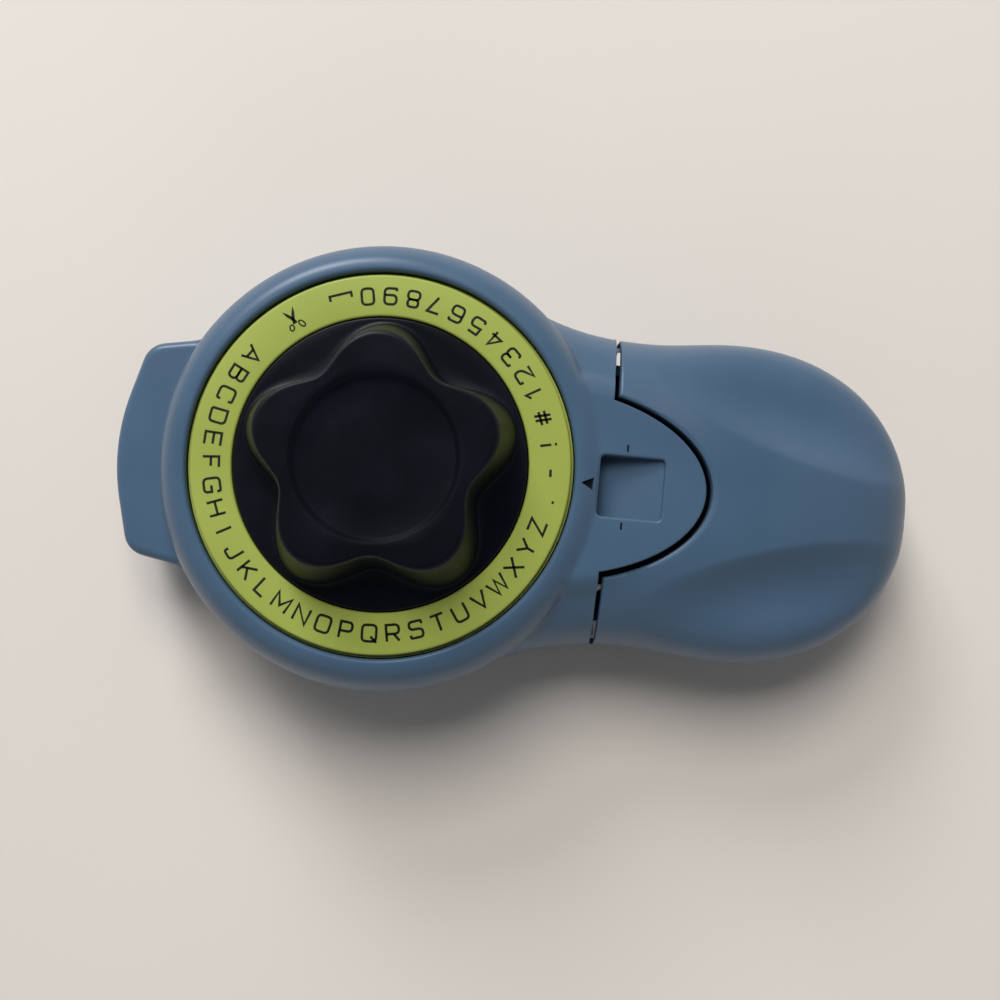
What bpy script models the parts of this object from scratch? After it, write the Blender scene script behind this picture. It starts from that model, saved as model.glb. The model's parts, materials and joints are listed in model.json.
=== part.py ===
"""Hand-held embossing label maker: a round head with a turning character dial, and a squeeze handle.

Units are metres and +Z is up. The sizes below are taken from the dial's axis, on the flat underside,
and the model frame then moves the middle of the whole length to the origin. +X runs to the tail.
Squeezing the handle turns it about the pivot shaft, and its press lever lifts the hammer under the
embossing wheels. The label tape crosses the wheels on a straight line, the tape line, which runs
from the roll to a slot in the head.
"""

import math

import bmesh
import bpy
from mathutils import Matrix, Vector

# Fits and general wall sizes
FIT = 0.0003
OVERRUN = 0.002
WALL = 0.002
SINK = 0.0006
NUDGE = 0.00012

# Head: a turned dome with a raised bezel round the dial
HEAD_RADIUS = 0.0438
BEZEL_TOP_Z = 0.0425
BEZEL_LIP = 0.0008
SHOULDER_DROP = 0.0098
SEAM_Z = 0.022
HEAD_DRAFT = 0.0010
FOOT_ROUND = 0.0030
DIAL_GAP = 0.0007

# Waist, tongue and handle, which share one outline and one crown
FLARE_X = 0.022
WAIST_BEHIND = 0.0062
WAIST_X = HEAD_RADIUS + WAIST_BEHIND
WAIST_DRAWN_IN = 0.0130
WAIST_HALF = HEAD_RADIUS - WAIST_DRAWN_IN
FLARE = math.sqrt(HEAD_RADIUS**2 - FLARE_X**2) - WAIST_HALF
GRIP_BEHIND = 0.0252
GRIP_X = HEAD_RADIUS + GRIP_BEHIND
GRIP_SWELL = 0.0014
GRIP_HALF = WAIST_HALF + GRIP_SWELL
TAIL_BEHIND = 0.0618
TAIL_X = HEAD_RADIUS + TAIL_BEHIND
SKIRT_LOW_Z = 0.0165
CROWN_BEHIND = 0.0162
CROWN_X = HEAD_RADIUS + CROWN_BEHIND
CROWN_Z = 0.0403
RIM_Z = 0.020
FLARE_POWER_SHARE = 2.3
TAIL_POWER_SHARE = 2.1
CROWN_POWER_SHARE = 2.4
SECTION_POWER_SHARE = 3.0
SPLIT_BEHIND = 0.0002
SPLIT_X = HEAD_RADIUS + SPLIT_BEHIND
SPLIT_GAP = 0.0007
DISH_BEHIND = 0.0332
DISH_X = HEAD_RADIUS + DISH_BEHIND
DISH_DRAWN_IN = 0.0127
DISH_Y = GRIP_HALF - DISH_DRAWN_IN
DISH_LENGTH = 0.029
DISH_WIDTH = 0.0115
DISH_DEPTH = 0.0032
DISH_TURN = math.radians(16)
TONGUE_BEFORE = 0.0138
TONGUE_CENTRE_X = HEAD_RADIUS - TONGUE_BEFORE
TONGUE_LENGTH = 0.0327
TONGUE_HALF = 0.01824
TONGUE_TOP_Z = 0.0406
TONGUE_THICK = 0.0021
TONGUE_GAP = 0.0011
WINDOW_BEHIND = 0.0044
WINDOW_X = HEAD_RADIUS + WINDOW_BEHIND
WINDOW_LENGTH = 0.0124
WINDOW_WIDTH = 0.0118
WINDOW_DEPTH = 0.0032

# Nose tab at the front
NOSE_ROOT_SINK = 0.0238
NOSE_ROOT_X = NOSE_ROOT_SINK - HEAD_RADIUS
NOSE_ROOT_HALF = 0.0265
NOSE_CORNER_REACH = 0.0065
NOSE_CORNER_X = -HEAD_RADIUS - NOSE_CORNER_REACH
NOSE_CORNER_HALF = 0.021
NOSE_REACH = 0.0120
NOSE_TIP_X = -HEAD_RADIUS - NOSE_REACH
NOSE_CORNER_ROUND = 0.005
NOSE_FRONT_ROUND = 0.042
NOSE_TOP_Z = 0.0275
NOSE_LOW_Z = 0.009
NOSE_EDGE = 0.0016

# Tub under the handle, which the handle's skirt slides over
TUB_INSET = 0.0050
TUB_TOP_Z = 0.0235
TUB_TAIL_MARGIN = 0.0056
TUB_TAIL_X = TAIL_X - TUB_TAIL_MARGIN
TUB_BEFORE_SPLIT = 0.0060
TUB_FRONT_X = SPLIT_X - TUB_BEFORE_SPLIT
TUB_FALL = 0.0050

# Dial, which fills the bezel
SHOULDER_WIDTH = 0.0058
RING_TOP_Z = 0.042
RING_OUTER = HEAD_RADIUS - SHOULDER_WIDTH - BEZEL_LIP - DIAL_GAP
RING_WIDTH = 0.0081
RING_INNER = RING_OUTER - RING_WIDTH
RING_THICK = 0.0016
RING_EDGE = 0.0004
DIAL_WEB = 0.0014
KNOB_TOP_Z = 0.056
KNOB_MARGIN = 0.0014
KNOB_LOBE = RING_INNER - KNOB_MARGIN
LOBE_DEPTH = 0.0068
KNOB_VALLEY = KNOB_LOBE - LOBE_DEPTH
KNOB_DRAFT = 0.0022
KNOB_ROUND = 0.0026
KNOB_SKIN = 0.002
KNOB_HUB = 0.0075
RECESS_MARGIN = 0.0046
RECESS_RADIUS = KNOB_VALLEY - RECESS_MARGIN
RECESS_DEPTH = 0.0012
RECESS_SLOPE = 0.0006
LOBES = 5
LOBE_TURN = math.radians(21.4)
SHAFT_RADIUS = 0.004
SHAFT_LOW_Z = 0.0165

# Embossing wheels, tape line and station
RIM_MARGIN = 0.0012
WHEEL_RIM = RING_OUTER - RIM_MARGIN
STATION_MARGIN = 0.0023
STATION_RADIUS = WHEEL_RIM - STATION_MARGIN
STATION_TURN = math.radians(30)
PETAL_LENGTH = 0.0110
WHEEL_ROOT = STATION_RADIUS - PETAL_LENGTH
WHEEL_THICK = 0.0012
POSITIONS = 45
WINDOW_POSITIONS = 4
WINDOW_TURN = math.radians(66.2)
SLIT = 0.0006
DIE_HEIGHT = 0.0005
DIE_CLEAR = 0.0005
TAPE_Z = 0.0305
TAPE_THICK = 0.00025
TAPE_WIDTH = 0.009
TOWER_RADIUS = 0.009
DETENT_RADIUS = 0.013
DETENT_NOTCH = 0.0008

# Chassis, bush and detent spring
CHASSIS_MARGIN = 0.0010
CHASSIS_RADIUS = STATION_RADIUS - CHASSIS_MARGIN
CHASSIS_Z = 0.022
CHASSIS_THICK = 0.002
LEG_RADIUS = 0.0032
LEG_MARGIN = 0.0020
LEG_RING = CHASSIS_RADIUS - LEG_MARGIN
LEG_TURNS = (math.radians(140), math.radians(220), math.radians(64))
BUSH_RADIUS = 0.006
BUSH_FLANGE = 0.0085
BUSH_FLANGE_THICK = 0.0011
CLIP_RADIUS = 0.0062
CLIP_THICK = 0.0009
SPRING_STRIP = 0.0008
SPRING_REACH = 0.019
SPRING_HEIGHT = 0.002

# Handle pivot, press lever and hammer
PIVOT_BEFORE = 0.0138
PIVOT_X = HEAD_RADIUS - PIVOT_BEFORE
PIVOT_Z = 0.013
PIVOT_RADIUS = 0.002
PIVOT_DRAWN_IN = 0.0008
PIVOT_HALF = WAIST_HALF - PIVOT_DRAWN_IN
PIVOT_BOSS = 0.0045
ARM_DRAWN_IN = 0.0109
ARM_INNER_Y = WAIST_HALF - ARM_DRAWN_IN
ARM_THICK = 0.0026
ARM_EYE = 0.005
RISER_BEHIND_SPLIT = 0.0045
ARM_RISE_X = SPLIT_X + RISER_BEHIND_SPLIT
ARM_RISE_WIDTH = 0.007
ARM_TOP_Z = 0.0366
ARM_LOW_Z = 0.009
ARM_HIGH_Z = 0.0150
LEVER_THICK = 0.0024
LEVER_NOSE = 0.002
HAMMER_LENGTH = 0.005
HAMMER_WIDTH = 0.007
HAMMER_HEAD_LENGTH = 0.0038
HAMMER_HEAD_WIDTH = 0.0046
HAMMER_HEAD_HEIGHT = 0.005
HAMMER_STROKE = 0.0013
SLEEVE_WALL = 0.0016
SLEEVE_DEPTH = 0.006
ANVIL_THICK = 0.0019
ANVIL_LENGTH = 0.008
ANVIL_REACH = 0.0076
ANVIL_INNER = 0.004

# Tape feed, cutter and roll, placed along the tape line
FEED_RADIUS = 0.0035
FEED_TEETH = 20
FEED_TOOTH = 0.0003
NIP_RADIUS = 0.0016
AXLE_RADIUS = 0.0010
NIP_AXLE_RADIUS = 0.0007
FRAME_INNER = 0.0054
FRAME_WALL = 0.0010
FRAME_HALF = 0.0027
BAY_FRONT = 0.0175
BAY_REAR = 0.0165
BAY_TOP_Z = 0.024
FEED_LEAD = 0.0079
CUT_LEAD = 0.0049
ROLL_LEAD = 0.0345
ROLL_RADIUS = 0.0133
CORE_RADIUS = 0.006
STUB_RADIUS = 0.002
BLADE_THICK = 0.0006
BLADE_WIDTH = 0.0100
BLADE_LOW_Z = 0.0158
BLADE_EDGE = 0.0008
CARRIER_THICK = 0.0026
CARRIER_HEIGHT = 0.0012
CUTTER_STROKE = 0.0023
GUIDE_DEPTH = 0.0024
ROCKER_ARM = 0.0052
ROCKER_Z = 0.0120
ROCKER_EYE = 0.0026
ROCKER_TIP = 0.0010
ROCKER_THICK = 0.0024
ROCKER_POST = 0.0015
ROCKER_PIN_RADIUS = 0.0010
CROSS_BAR_X = ARM_RISE_X - FIT
CROSS_BAR_Z = 0.0150
CROSS_BAR_RADIUS = 0.0016
PAWL_Y = -0.0110
PAWL_WIDTH = 0.0026
PAWL_EYE = 0.0030
PAWL_TIP = 0.0008
PAWL_REACH_X = -0.0046
PAWL_REACH_Z = 0.0090

# Handle spring
SPRING_BEHIND = 0.0182
SPRING_X = HEAD_RADIUS + SPRING_BEHIND
SPRING_DRAWN_IN = 0.0132
SPRING_Y = GRIP_HALF - SPRING_DRAWN_IN
SPRING_RADIUS = 0.004
SPRING_WIRE = 0.0005
SPRING_TURNS = 6
SPRING_LOW_Z = 0.0080
SPRING_TOP_Z = 0.0320
SPRING_SEAT = 0.0054
SPRING_PEG = 0.0028
SPRING_PEG_HEIGHT = 0.003

# Tape door in the underside
DOOR_BEHIND = 0.0082
DOOR_HINGE_X = HEAD_RADIUS + DOOR_BEHIND
DOOR_LENGTH = 0.0360
DOOR_HALF = 0.0130
DOOR_THICK = 0.0018
DOOR_RECESS = 0.0002
DOOR_GAP = 0.0004
KNUCKLE_RADIUS = 0.0020
KNUCKLE_HALF = 0.0095
DOOR_PIN_RADIUS = 0.0008
LUG_WIDTH = 0.0024
THUMB_NOTCH = 0.0050

# Screws
SCREW_RADIUS = 0.0012
SCREW_HEAD = 0.0024
SCREW_HEAD_THICK = 0.0016
SCREW_POST = 0.0024
SCREW_BASE = 0.0040
SCREW_BITE = 0.006
SCREW_FLOOR = 0.0030
NOSE_SCREW_BACK = 0.0063
NOSE_SCREW_X = NOSE_CORNER_X + NOSE_SCREW_BACK
NOSE_SCREW_Y = 0.0120
WAIST_SCREW_BEFORE = 0.0050
WAIST_SCREW_X = SPLIT_X - WAIST_SCREW_BEFORE
WAIST_SCREW_DRAWN_IN = 0.0052
WAIST_SCREW_Y = WAIST_HALF - WAIST_SCREW_DRAWN_IN

# Shapes given as shares of the sizes that they follow
FOOT_SHARES = ((0.0, 1.0), (0.3, 0.3), (1.0, 0.0))
KNOB_ROUND_SHARES = ((0.0, 1.0), (1.0, 0.12), (0.4, 0.45))
VALLEY_DRAFT_SHARE = 0.5

# Counts of facets
HEAD_STEPS = 40
SMALL_STEPS = 14
TINY_STEPS = 10
KNOB_STEPS = 40
HULL_STATIONS = 9
SECTION_STEPS = 12

STATION = Vector((STATION_RADIUS * math.sin(STATION_TURN), -STATION_RADIUS * math.cos(STATION_TURN), 0))
FEED_U = (CROSS_BAR_X - FEED_LEAD - STATION.x) / math.cos(STATION_TURN)
FRAME_FRONT_U = FEED_U - FRAME_HALF
FRAME_NECK_U = FEED_U + FRAME_HALF
CUT_U = FEED_U - CUT_LEAD
ROLL_U = FEED_U + ROLL_LEAD
BAY_FRONT_U = ROLL_U - BAY_FRONT
BAY_REAR_U = ROLL_U + BAY_REAR
ROCKER_X = CROSS_BAR_X - ROCKER_ARM


def clear_scene():
    for item in list(bpy.data.objects):
        bpy.data.objects.remove(item, do_unlink=True)


def collection(name):
    made = bpy.data.collections.new(name)
    bpy.context.scene.collection.children.link(made)
    return made


clear_scene()
PARTS = collection("embossing_label_maker")
TOOLS = collection("cutters_and_guides")


def empty(name, place, parent=None):
    made = bpy.data.objects.new(name, None)
    made.location = place
    made.parent = parent
    TOOLS.objects.link(made)
    return made


FRAME = empty("model_frame", (0, 0, 0))
TAPE_LINE = empty("tape_line", STATION, FRAME)
TAPE_LINE.rotation_euler = (0, 0, STATION_TURN)


def material(name, colour, roughness, metallic=0.0):
    made = bpy.data.materials.new(name)
    made.use_nodes = True
    shader = made.node_tree.nodes["Principled BSDF"]
    shader.inputs["Base Color"].default_value = (*colour, 1)
    shader.inputs["Roughness"].default_value = roughness
    shader.inputs["Metallic"].default_value = metallic
    made.diffuse_color = (*colour, 1)
    return made


BLUE = material("grey_blue_abs", (0.115, 0.205, 0.345), 0.45)
LIME = material("lime_abs", (0.470, 0.560, 0.075), 0.40)
NAVY = material("navy_grained_abs", (0.006, 0.009, 0.024), 0.50)
WHITE = material("natural_acetal", (0.70, 0.69, 0.64), 0.45)
BLACK = material("black_nylon", (0.020, 0.020, 0.022), 0.50)
STEEL = material("zinc_plated_steel", (0.55, 0.56, 0.58), 0.35, 1.0)
SPRING_STEEL = material("spring_steel", (0.42, 0.43, 0.45), 0.30, 1.0)
BRASS = material("sintered_bronze", (0.50, 0.34, 0.16), 0.45, 1.0)
RUBBER = material("grey_rubber", (0.08, 0.08, 0.085), 0.80)
TAPE = material("glossy_vinyl_tape", (0.012, 0.012, 0.013), 0.22)


def add_object(name, mesh, finish=None):
    """A node where a finish is given, and otherwise a tool that is left out of the model."""
    made = bpy.data.objects.new(name, mesh)
    made.parent = FRAME
    if finish:
        if not made.data.materials:
            made.data.materials.append(finish)
        PARTS.objects.link(made)
        return made
    TOOLS.objects.link(made)
    made.hide_render = True
    made.display_type = "WIRE"
    return made


def from_bmesh(name, bm, finish=None):
    bmesh.ops.remove_doubles(bm, verts=bm.verts, dist=1e-6)
    bmesh.ops.recalc_face_normals(bm, faces=bm.faces)
    mesh = bpy.data.meshes.new(name)
    bm.to_mesh(mesh)
    bm.free()
    return add_object(name, mesh, finish)


def as_mesh(name, helper, finish=None, shift=(0, 0, 0)):
    """The evaluated shape of a helper object as a welded mesh object. The helper is removed."""
    graph = bpy.context.evaluated_depsgraph_get()
    mesh = bpy.data.meshes.new_from_object(helper.evaluated_get(graph))
    bpy.data.objects.remove(helper)
    bm = bmesh.new()
    bm.from_mesh(mesh)
    bmesh.ops.translate(bm, vec=Vector(shift), verts=bm.verts)
    return from_bmesh(name, bm, finish)


def turned(name, profile, steps, finish=None, at=(0, 0, 0), closed=True):
    """A profile of (radius, height) points turned about +Z. An open one starts and ends on the axis."""
    mesh = bpy.data.meshes.new(name)
    points = [(radius, 0, height) for radius, height in profile]
    edges = [(i, i + 1) for i in range(len(points) - 1)]
    if closed:
        edges.append((len(points) - 1, 0))
    mesh.from_pydata(points, edges, [])
    helper = bpy.data.objects.new(name, mesh)
    TOOLS.objects.link(helper)
    screw = helper.modifiers.new("turn", "SCREW")
    screw.steps = screw.render_steps = steps
    screw.use_merge_vertices = True
    screw.merge_threshold = 1e-6
    return as_mesh(name, helper, finish, at)


def extruded(name, outlines, low, high, finish=None):
    """Flat outlines filled and extruded from low to high. A second outline inside the first is a hole."""
    curve = bpy.data.curves.new(name, "CURVE")
    curve.dimensions = "2D"
    curve.fill_mode = "BOTH"
    curve.extrude = (high - low) / 2
    for outline in outlines:
        spline = curve.splines.new("POLY")
        spline.points.add(len(outline) - 1)
        for point, place in zip(spline.points, outline):
            point.co = (place[0], place[1], 0, 1)
        spline.use_cyclic_u = True
    helper = bpy.data.objects.new(name, curve)
    TOOLS.objects.link(helper)
    return as_mesh(name, helper, finish, (0, 0, (low + high) / 2))


def side_extruded(name, outlines, y_low, y_high, finish=None):
    """Outlines of (x, z) points, extruded along Y."""
    made = extruded(name, outlines, -y_high, -y_low, finish)
    made.data.transform(Matrix.Rotation(math.pi / 2, 4, "X"))
    return made


def loft(name, rings, finish=None, cap_last=True):
    """Skins a run of rings with as many points each. A last ring may be a single point repeated."""
    bm = bmesh.new()
    loops = [[bm.verts.new(point) for point in ring] for ring in rings]
    for low, high in zip(loops, loops[1:]):
        for i in range(len(low)):
            j = (i + 1) % len(low)
            bm.faces.new((low[i], low[j], high[j], high[i]))
    bm.faces.new(loops[0])
    if cap_last:
        bm.faces.new(loops[-1])
    return from_bmesh(name, bm, finish)


def box(name, low, high, finish=None):
    low, high = Vector(low), Vector(high)
    bm = bmesh.new()
    scale = Matrix.Diagonal((*(high - low), 1))
    bmesh.ops.create_cube(bm, size=1, matrix=Matrix.Translation((low + high) / 2) @ scale)
    return from_bmesh(name, bm, finish)


def rod(name, radius, start, end, steps=SMALL_STEPS, finish=None):
    start, end = Vector(start), Vector(end)
    turn = Vector((0, 0, 1)).rotation_difference(end - start).to_matrix().to_4x4()
    place = Matrix.Translation((start + end) / 2) @ turn
    bm = bmesh.new()
    bmesh.ops.create_cone(
        bm,
        cap_ends=True,
        segments=steps,
        radius1=radius,
        radius2=radius,
        depth=(end - start).length,
        matrix=place,
    )
    return from_bmesh(name, bm, finish)


def boolean(target, tool, operation):
    step = target.modifiers.new(tool.name, "BOOLEAN")
    step.operation = operation
    step.solver = "EXACT"
    step.object = tool


def cut(target, *tools):
    for tool in tools:
        boolean(target, tool, "DIFFERENCE")


def join(target, *tools):
    for tool in tools:
        boolean(target, tool, "UNION")


def on_tape_line(*pieces):
    """Local +X then runs up the tape line to the roll, and local -Y outwards from the dial's axis."""
    for piece in pieces:
        piece.parent = TAPE_LINE


def on_axis(name, place, *pieces, base=None):
    """Hangs pieces from an empty on their joint's axis, where they are."""
    axis = empty(name, place, base or FRAME)
    for piece in pieces:
        piece.parent = axis
        piece.location = -Vector(place)


def bulge(share, power):
    """Height of a unit superellipse at a share of its half length."""
    return max(0.0, 1 - abs(share) ** power) ** (1 / power)


def arc(radius_at, height_at, across, up, start, end, steps):
    """Points on an ellipse round (radius_at, height_at), between two angles in degrees."""
    turns = [math.radians(start + (end - start) * i / steps) for i in range(steps + 1)]
    return [(radius_at + across * math.cos(t), height_at + up * math.sin(t)) for t in turns]


def circle(radius, steps, centre=(0, 0)):
    turns = [2 * math.pi * i / steps for i in range(steps)]
    return [(centre[0] + radius * math.cos(t), centre[1] + radius * math.sin(t)) for t in turns]


def half_width(x, inset, tail_x):
    """Half the width of the waist and handle at x, drawn in by inset and closed at tail_x."""
    if x <= WAIST_X:
        flare = FLARE * ((WAIST_X - x) / (WAIST_X - FLARE_X)) ** FLARE_POWER_SHARE
        return WAIST_HALF + flare - inset
    if x <= GRIP_X:
        ease = (1 - math.cos(math.pi * (x - WAIST_X) / (GRIP_X - WAIST_X))) / 2
        return WAIST_HALF + (GRIP_HALF - WAIST_HALF) * ease - inset
    return (GRIP_HALF - inset) * bulge((x - GRIP_X) / (tail_x - GRIP_X), TAIL_POWER_SHARE)


def crown(x, inset, tail_x):
    """Height of the top line at x."""
    if x <= CROWN_X:
        return CROWN_Z - inset
    share = bulge((x - CROWN_X) / (tail_x - CROWN_X), CROWN_POWER_SHARE)
    return RIM_Z + (CROWN_Z - inset - RIM_Z) * share


def dish(x, y):
    """Depth of the two hollows that the thumb and fingers press into."""
    away = x - DISH_X
    aside = abs(y) - DISH_Y
    along = away * math.cos(DISH_TURN) - aside * math.sin(DISH_TURN)
    across = away * math.sin(DISH_TURN) + aside * math.cos(DISH_TURN)
    reach = (along / DISH_LENGTH) ** 2 + (across / DISH_WIDTH) ** 2
    return DISH_DEPTH * (1 - reach) ** 2 if reach < 1 else 0.0


def skin_z(x, y, inset):
    """Height of the moulded top over a point of the plan, drawn in by inset."""
    half, top = half_width(x, inset, TAIL_X - inset), crown(x, inset, TAIL_X - inset)
    rise = bulge(y / half, SECTION_POWER_SHARE)
    return RIM_Z + (top - RIM_Z) * rise - dish(x, y) * rise


def crown_section(x, inset, tail_x, low_z):
    """One cross-section of the moulded top, from the -Y rim over the crown to the +Y rim and down."""
    half, top = half_width(x, inset, tail_x), crown(x, inset, tail_x)
    power = 2 / SECTION_POWER_SHARE
    ring = [(x, -half, low_z)]
    for i in range(SECTION_STEPS + 1):
        turn = math.pi * i / SECTION_STEPS
        y = -half * math.copysign(abs(math.cos(turn)) ** power, math.cos(turn))
        rise = math.sin(turn) ** power if 0 < i < SECTION_STEPS else 0.0
        ring.append((x, y, RIM_Z + (top - RIM_Z) * rise - dish(x, y) * rise))
    ring.append((x, half, low_z))
    return ring


def stations(start, end, count, to_tail):
    """Places along X, closing up towards the tail where the outline turns in."""
    if not to_tail:
        return [start + (end - start) * i / count for i in range(count + 1)]
    return [start + (end - start) * math.sin(math.pi / 2 * i / count) for i in range(count)]


def moulded_top(name, start, end, inset, low_z, finish=None, to_tail=False, count=HULL_STATIONS):
    """The crowned form of the waist or handle, closed underneath at low_z."""
    tail_x = TAIL_X - inset
    places = stations(start, tail_x if to_tail else end, count, to_tail)
    rings = [crown_section(x, inset, tail_x, low_z) for x in places]
    if to_tail:
        rings.append([(tail_x, 0, z) for _, _, z in crown_section(places[-1], inset, tail_x, low_z)])
        rings[-1] = [(tail_x, 0, min(z, RIM_Z)) for _, _, z in rings[-1]]
    return loft(name, rings, finish, cap_last=not to_tail)


def hull_outline(start, end, inset, tail_x=None, count=HULL_STATIONS):
    """Plan outline of the waist, or of the tub when tail_x is given."""
    if tail_x is None:
        places = stations(start, end, count, False)
        right = [(x, -half_width(x, inset, TAIL_X)) for x in places]
        return right + [(x, -y) for x, y in reversed(right)]
    places = stations(start, tail_x, count, True)
    right = [(x, -half_width(x, inset, tail_x)) for x in places]
    return right + [(tail_x, 0)] + [(x, -y) for x, y in reversed(right)]


def foot_rings(outline_at, low_z, top_z, inset, draft, rounding):
    """Rings of a drafted wall with a rounded foot. outline_at gives the outline at an inset."""
    rings = [[(x, y, top_z) for x, y in outline_at(inset)]]
    for share, rise_share in FOOT_SHARES:
        drawn_in = inset + draft + rounding * share
        rings.append([(x, y, low_z + rounding * rise_share) for x, y in outline_at(drawn_in)])
    return rings


def rounded_outline(corners, steps=5):
    """An outline with an arc at each corner. A corner is (x, y, radius)."""
    outline = []
    for i, (x, y, radius) in enumerate(corners):
        here = Vector((x, y))
        before = (Vector(corners[i - 1][:2]) - here).normalized()
        after = (Vector(corners[(i + 1) % len(corners)][:2]) - here).normalized()
        half = before.angle(after) / 2
        if radius == 0:
            outline.append((x, y))
            continue
        centre = here + (before + after).normalized() * (radius / math.sin(half))
        first = here + before * (radius / math.tan(half)) - centre
        last = here + after * (radius / math.tan(half)) - centre
        sweep = first.angle_signed(last)
        for k in range(steps + 1):
            spoke = first.copy()
            spoke.rotate(Matrix.Rotation(-sweep * k / steps, 2))
            outline.append(tuple(centre + spoke))
    return outline


def nose_outline(inset):
    return rounded_outline(
        [
            (NOSE_ROOT_X, NOSE_ROOT_HALF - inset, 0),
            (NOSE_CORNER_X + inset, NOSE_CORNER_HALF - inset, NOSE_CORNER_ROUND),
            (NOSE_TIP_X + inset, 0, NOSE_FRONT_ROUND),
            (NOSE_CORNER_X + inset, -NOSE_CORNER_HALF + inset, NOSE_CORNER_ROUND),
            (NOSE_ROOT_X, -NOSE_ROOT_HALF + inset, 0),
        ]
    )


def tongue_outline(offset, root_x, steps=24):
    """The half ellipse of the tongue, grown by offset and closed at root_x."""
    length, half = TONGUE_LENGTH + offset, TONGUE_HALF + offset
    limit = math.acos((root_x - TONGUE_CENTRE_X) / length)
    turns = [limit * (2 * i / steps - 1) for i in range(steps + 1)]
    return [(TONGUE_CENTRE_X + length * math.cos(t), half * math.sin(t)) for t in turns]


def drafted(name, outline_at, low_z, top_z, inset, finish=None):
    """A wall's outer or inner volume, drawn in by the draft and rounded at its foot."""
    rings = foot_rings(outline_at, low_z, top_z, inset, HEAD_DRAFT, FOOT_ROUND)
    return loft(name, rings, finish)


def head_outline(inset):
    return circle(HEAD_RADIUS - inset, HEAD_STEPS)


def waist_outline(inset):
    return hull_outline(FLARE_X, SPLIT_X - SPLIT_GAP / 2 - inset, inset)


def tub_outline(inset):
    return hull_outline(TUB_FRONT_X, None, TUB_INSET + inset, TUB_TAIL_X - inset)


def post(name, radius, x, y, low_z, top_z, steps=SMALL_STEPS):
    return rod(name, radius, (x, y, low_z), (x, y, top_z), steps)


# Lower housing: the outer volume, less a hollow in which every post and wall is left standing
LOWER = drafted("lower_housing", head_outline, 0, SEAM_Z + OVERRUN, 0, BLUE)
lower_waist = drafted("lower_waist", waist_outline, 0, SEAM_Z + OVERRUN / 2, 0)
lower_tub = drafted("lower_tub", tub_outline, 0, TUB_TOP_Z + OVERRUN, 0)
# Everything above the seam, and above the sloping rim of the tub
above_rim = side_extruded(
    "above_rim",
    [
        [
            (NOSE_TIP_X - OVERRUN, SEAM_Z),
            (SPLIT_X, SEAM_Z),
            (SPLIT_X, TUB_TOP_Z - NUDGE),
            (TAIL_X, TUB_TOP_Z - TUB_FALL),
            (TAIL_X, TUB_TOP_Z + FOOT_ROUND * 4),
            (NOSE_TIP_X - OVERRUN, TUB_TOP_Z + FOOT_ROUND * 4),
        ]
    ],
    -HEAD_RADIUS - OVERRUN,
    HEAD_RADIUS + OVERRUN,
)
lower_nose = loft(
    "lower_nose",
    [
        [(x, y, SEAM_Z + OVERRUN * 2) for x, y in nose_outline(0)],
        [(x, y, NOSE_LOW_Z + NOSE_EDGE) for x, y in nose_outline(0)],
        [(x, y, NOSE_LOW_Z) for x, y in nose_outline(NOSE_EDGE)],
    ],
)
hollow = drafted("hollow", head_outline, WALL, SEAM_Z + OVERRUN * 3, WALL)
waist_hollow = drafted("waist_hollow", waist_outline, WALL, SEAM_Z + OVERRUN * 2, WALL)
tub_hollow = drafted("tub_hollow", tub_outline, WALL, TUB_TOP_Z + OVERRUN * 2, WALL)
nose_hollow = loft(
    "nose_hollow",
    [[(x, y, z) for x, y in nose_outline(WALL)] for z in (SEAM_Z + OVERRUN * 4, NOSE_LOW_Z + WALL)],
)
join(hollow, waist_hollow, tub_hollow, nose_hollow)

leg_tops = CHASSIS_Z - FIT
legs = [
    post(f"leg_{i}", LEG_RADIUS, LEG_RING * math.cos(turn), LEG_RING * math.sin(turn), 0, leg_tops)
    for i, turn in enumerate(LEG_TURNS)
]
waist_posts = [post(f"waist_post_{y:+.3f}", SCREW_POST, WAIST_SCREW_X, y, 0, SEAM_Z + OVERRUN * 5)
               for y in (-WAIST_SCREW_Y, WAIST_SCREW_Y)]
waist_bases = [post(f"waist_base_{y:+.3f}", SCREW_BASE, WAIST_SCREW_X, y, 0, SCREW_FLOOR + WALL)
               for y in (-WAIST_SCREW_Y, WAIST_SCREW_Y)]
nose_posts = [post(f"nose_post_{y:+.3f}", SCREW_BASE, NOSE_SCREW_X, y, 0, SEAM_Z + OVERRUN * 5)
              for y in (-NOSE_SCREW_Y, NOSE_SCREW_Y)]

BEARING_IN = ARM_INNER_Y + ARM_THICK + FIT * 2
BEARING_OUT = STATION_RADIUS * math.cos(STATION_TURN) - LEVER_THICK / 2 - FIT * 2
bearings = []
shaft_slots = []
for side in (-1, 1):
    near, far = sorted((side * BEARING_IN, side * BEARING_OUT))
    bearings.append(
        box(
            f"bearing_{side:+d}",
            (PIVOT_X - PIVOT_BOSS, near, 0),
            (PIVOT_X + PIVOT_BOSS, far, PIVOT_Z + PIVOT_RADIUS + SINK),
        )
    )
slot_half = PIVOT_RADIUS + FIT
shaft_slot = rod(
    "shaft_slot",
    slot_half,
    (PIVOT_X, -PIVOT_HALF, PIVOT_Z),
    (PIVOT_X, PIVOT_HALF, PIVOT_Z),
)
slot_mouth = box(
    "slot_mouth",
    (PIVOT_X - slot_half, -PIVOT_HALF, PIVOT_Z),
    (PIVOT_X + slot_half, PIVOT_HALF, PIVOT_Z + PIVOT_BOSS),
)
for bearing in bearings:
    cut(bearing, shaft_slot, slot_mouth)

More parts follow.
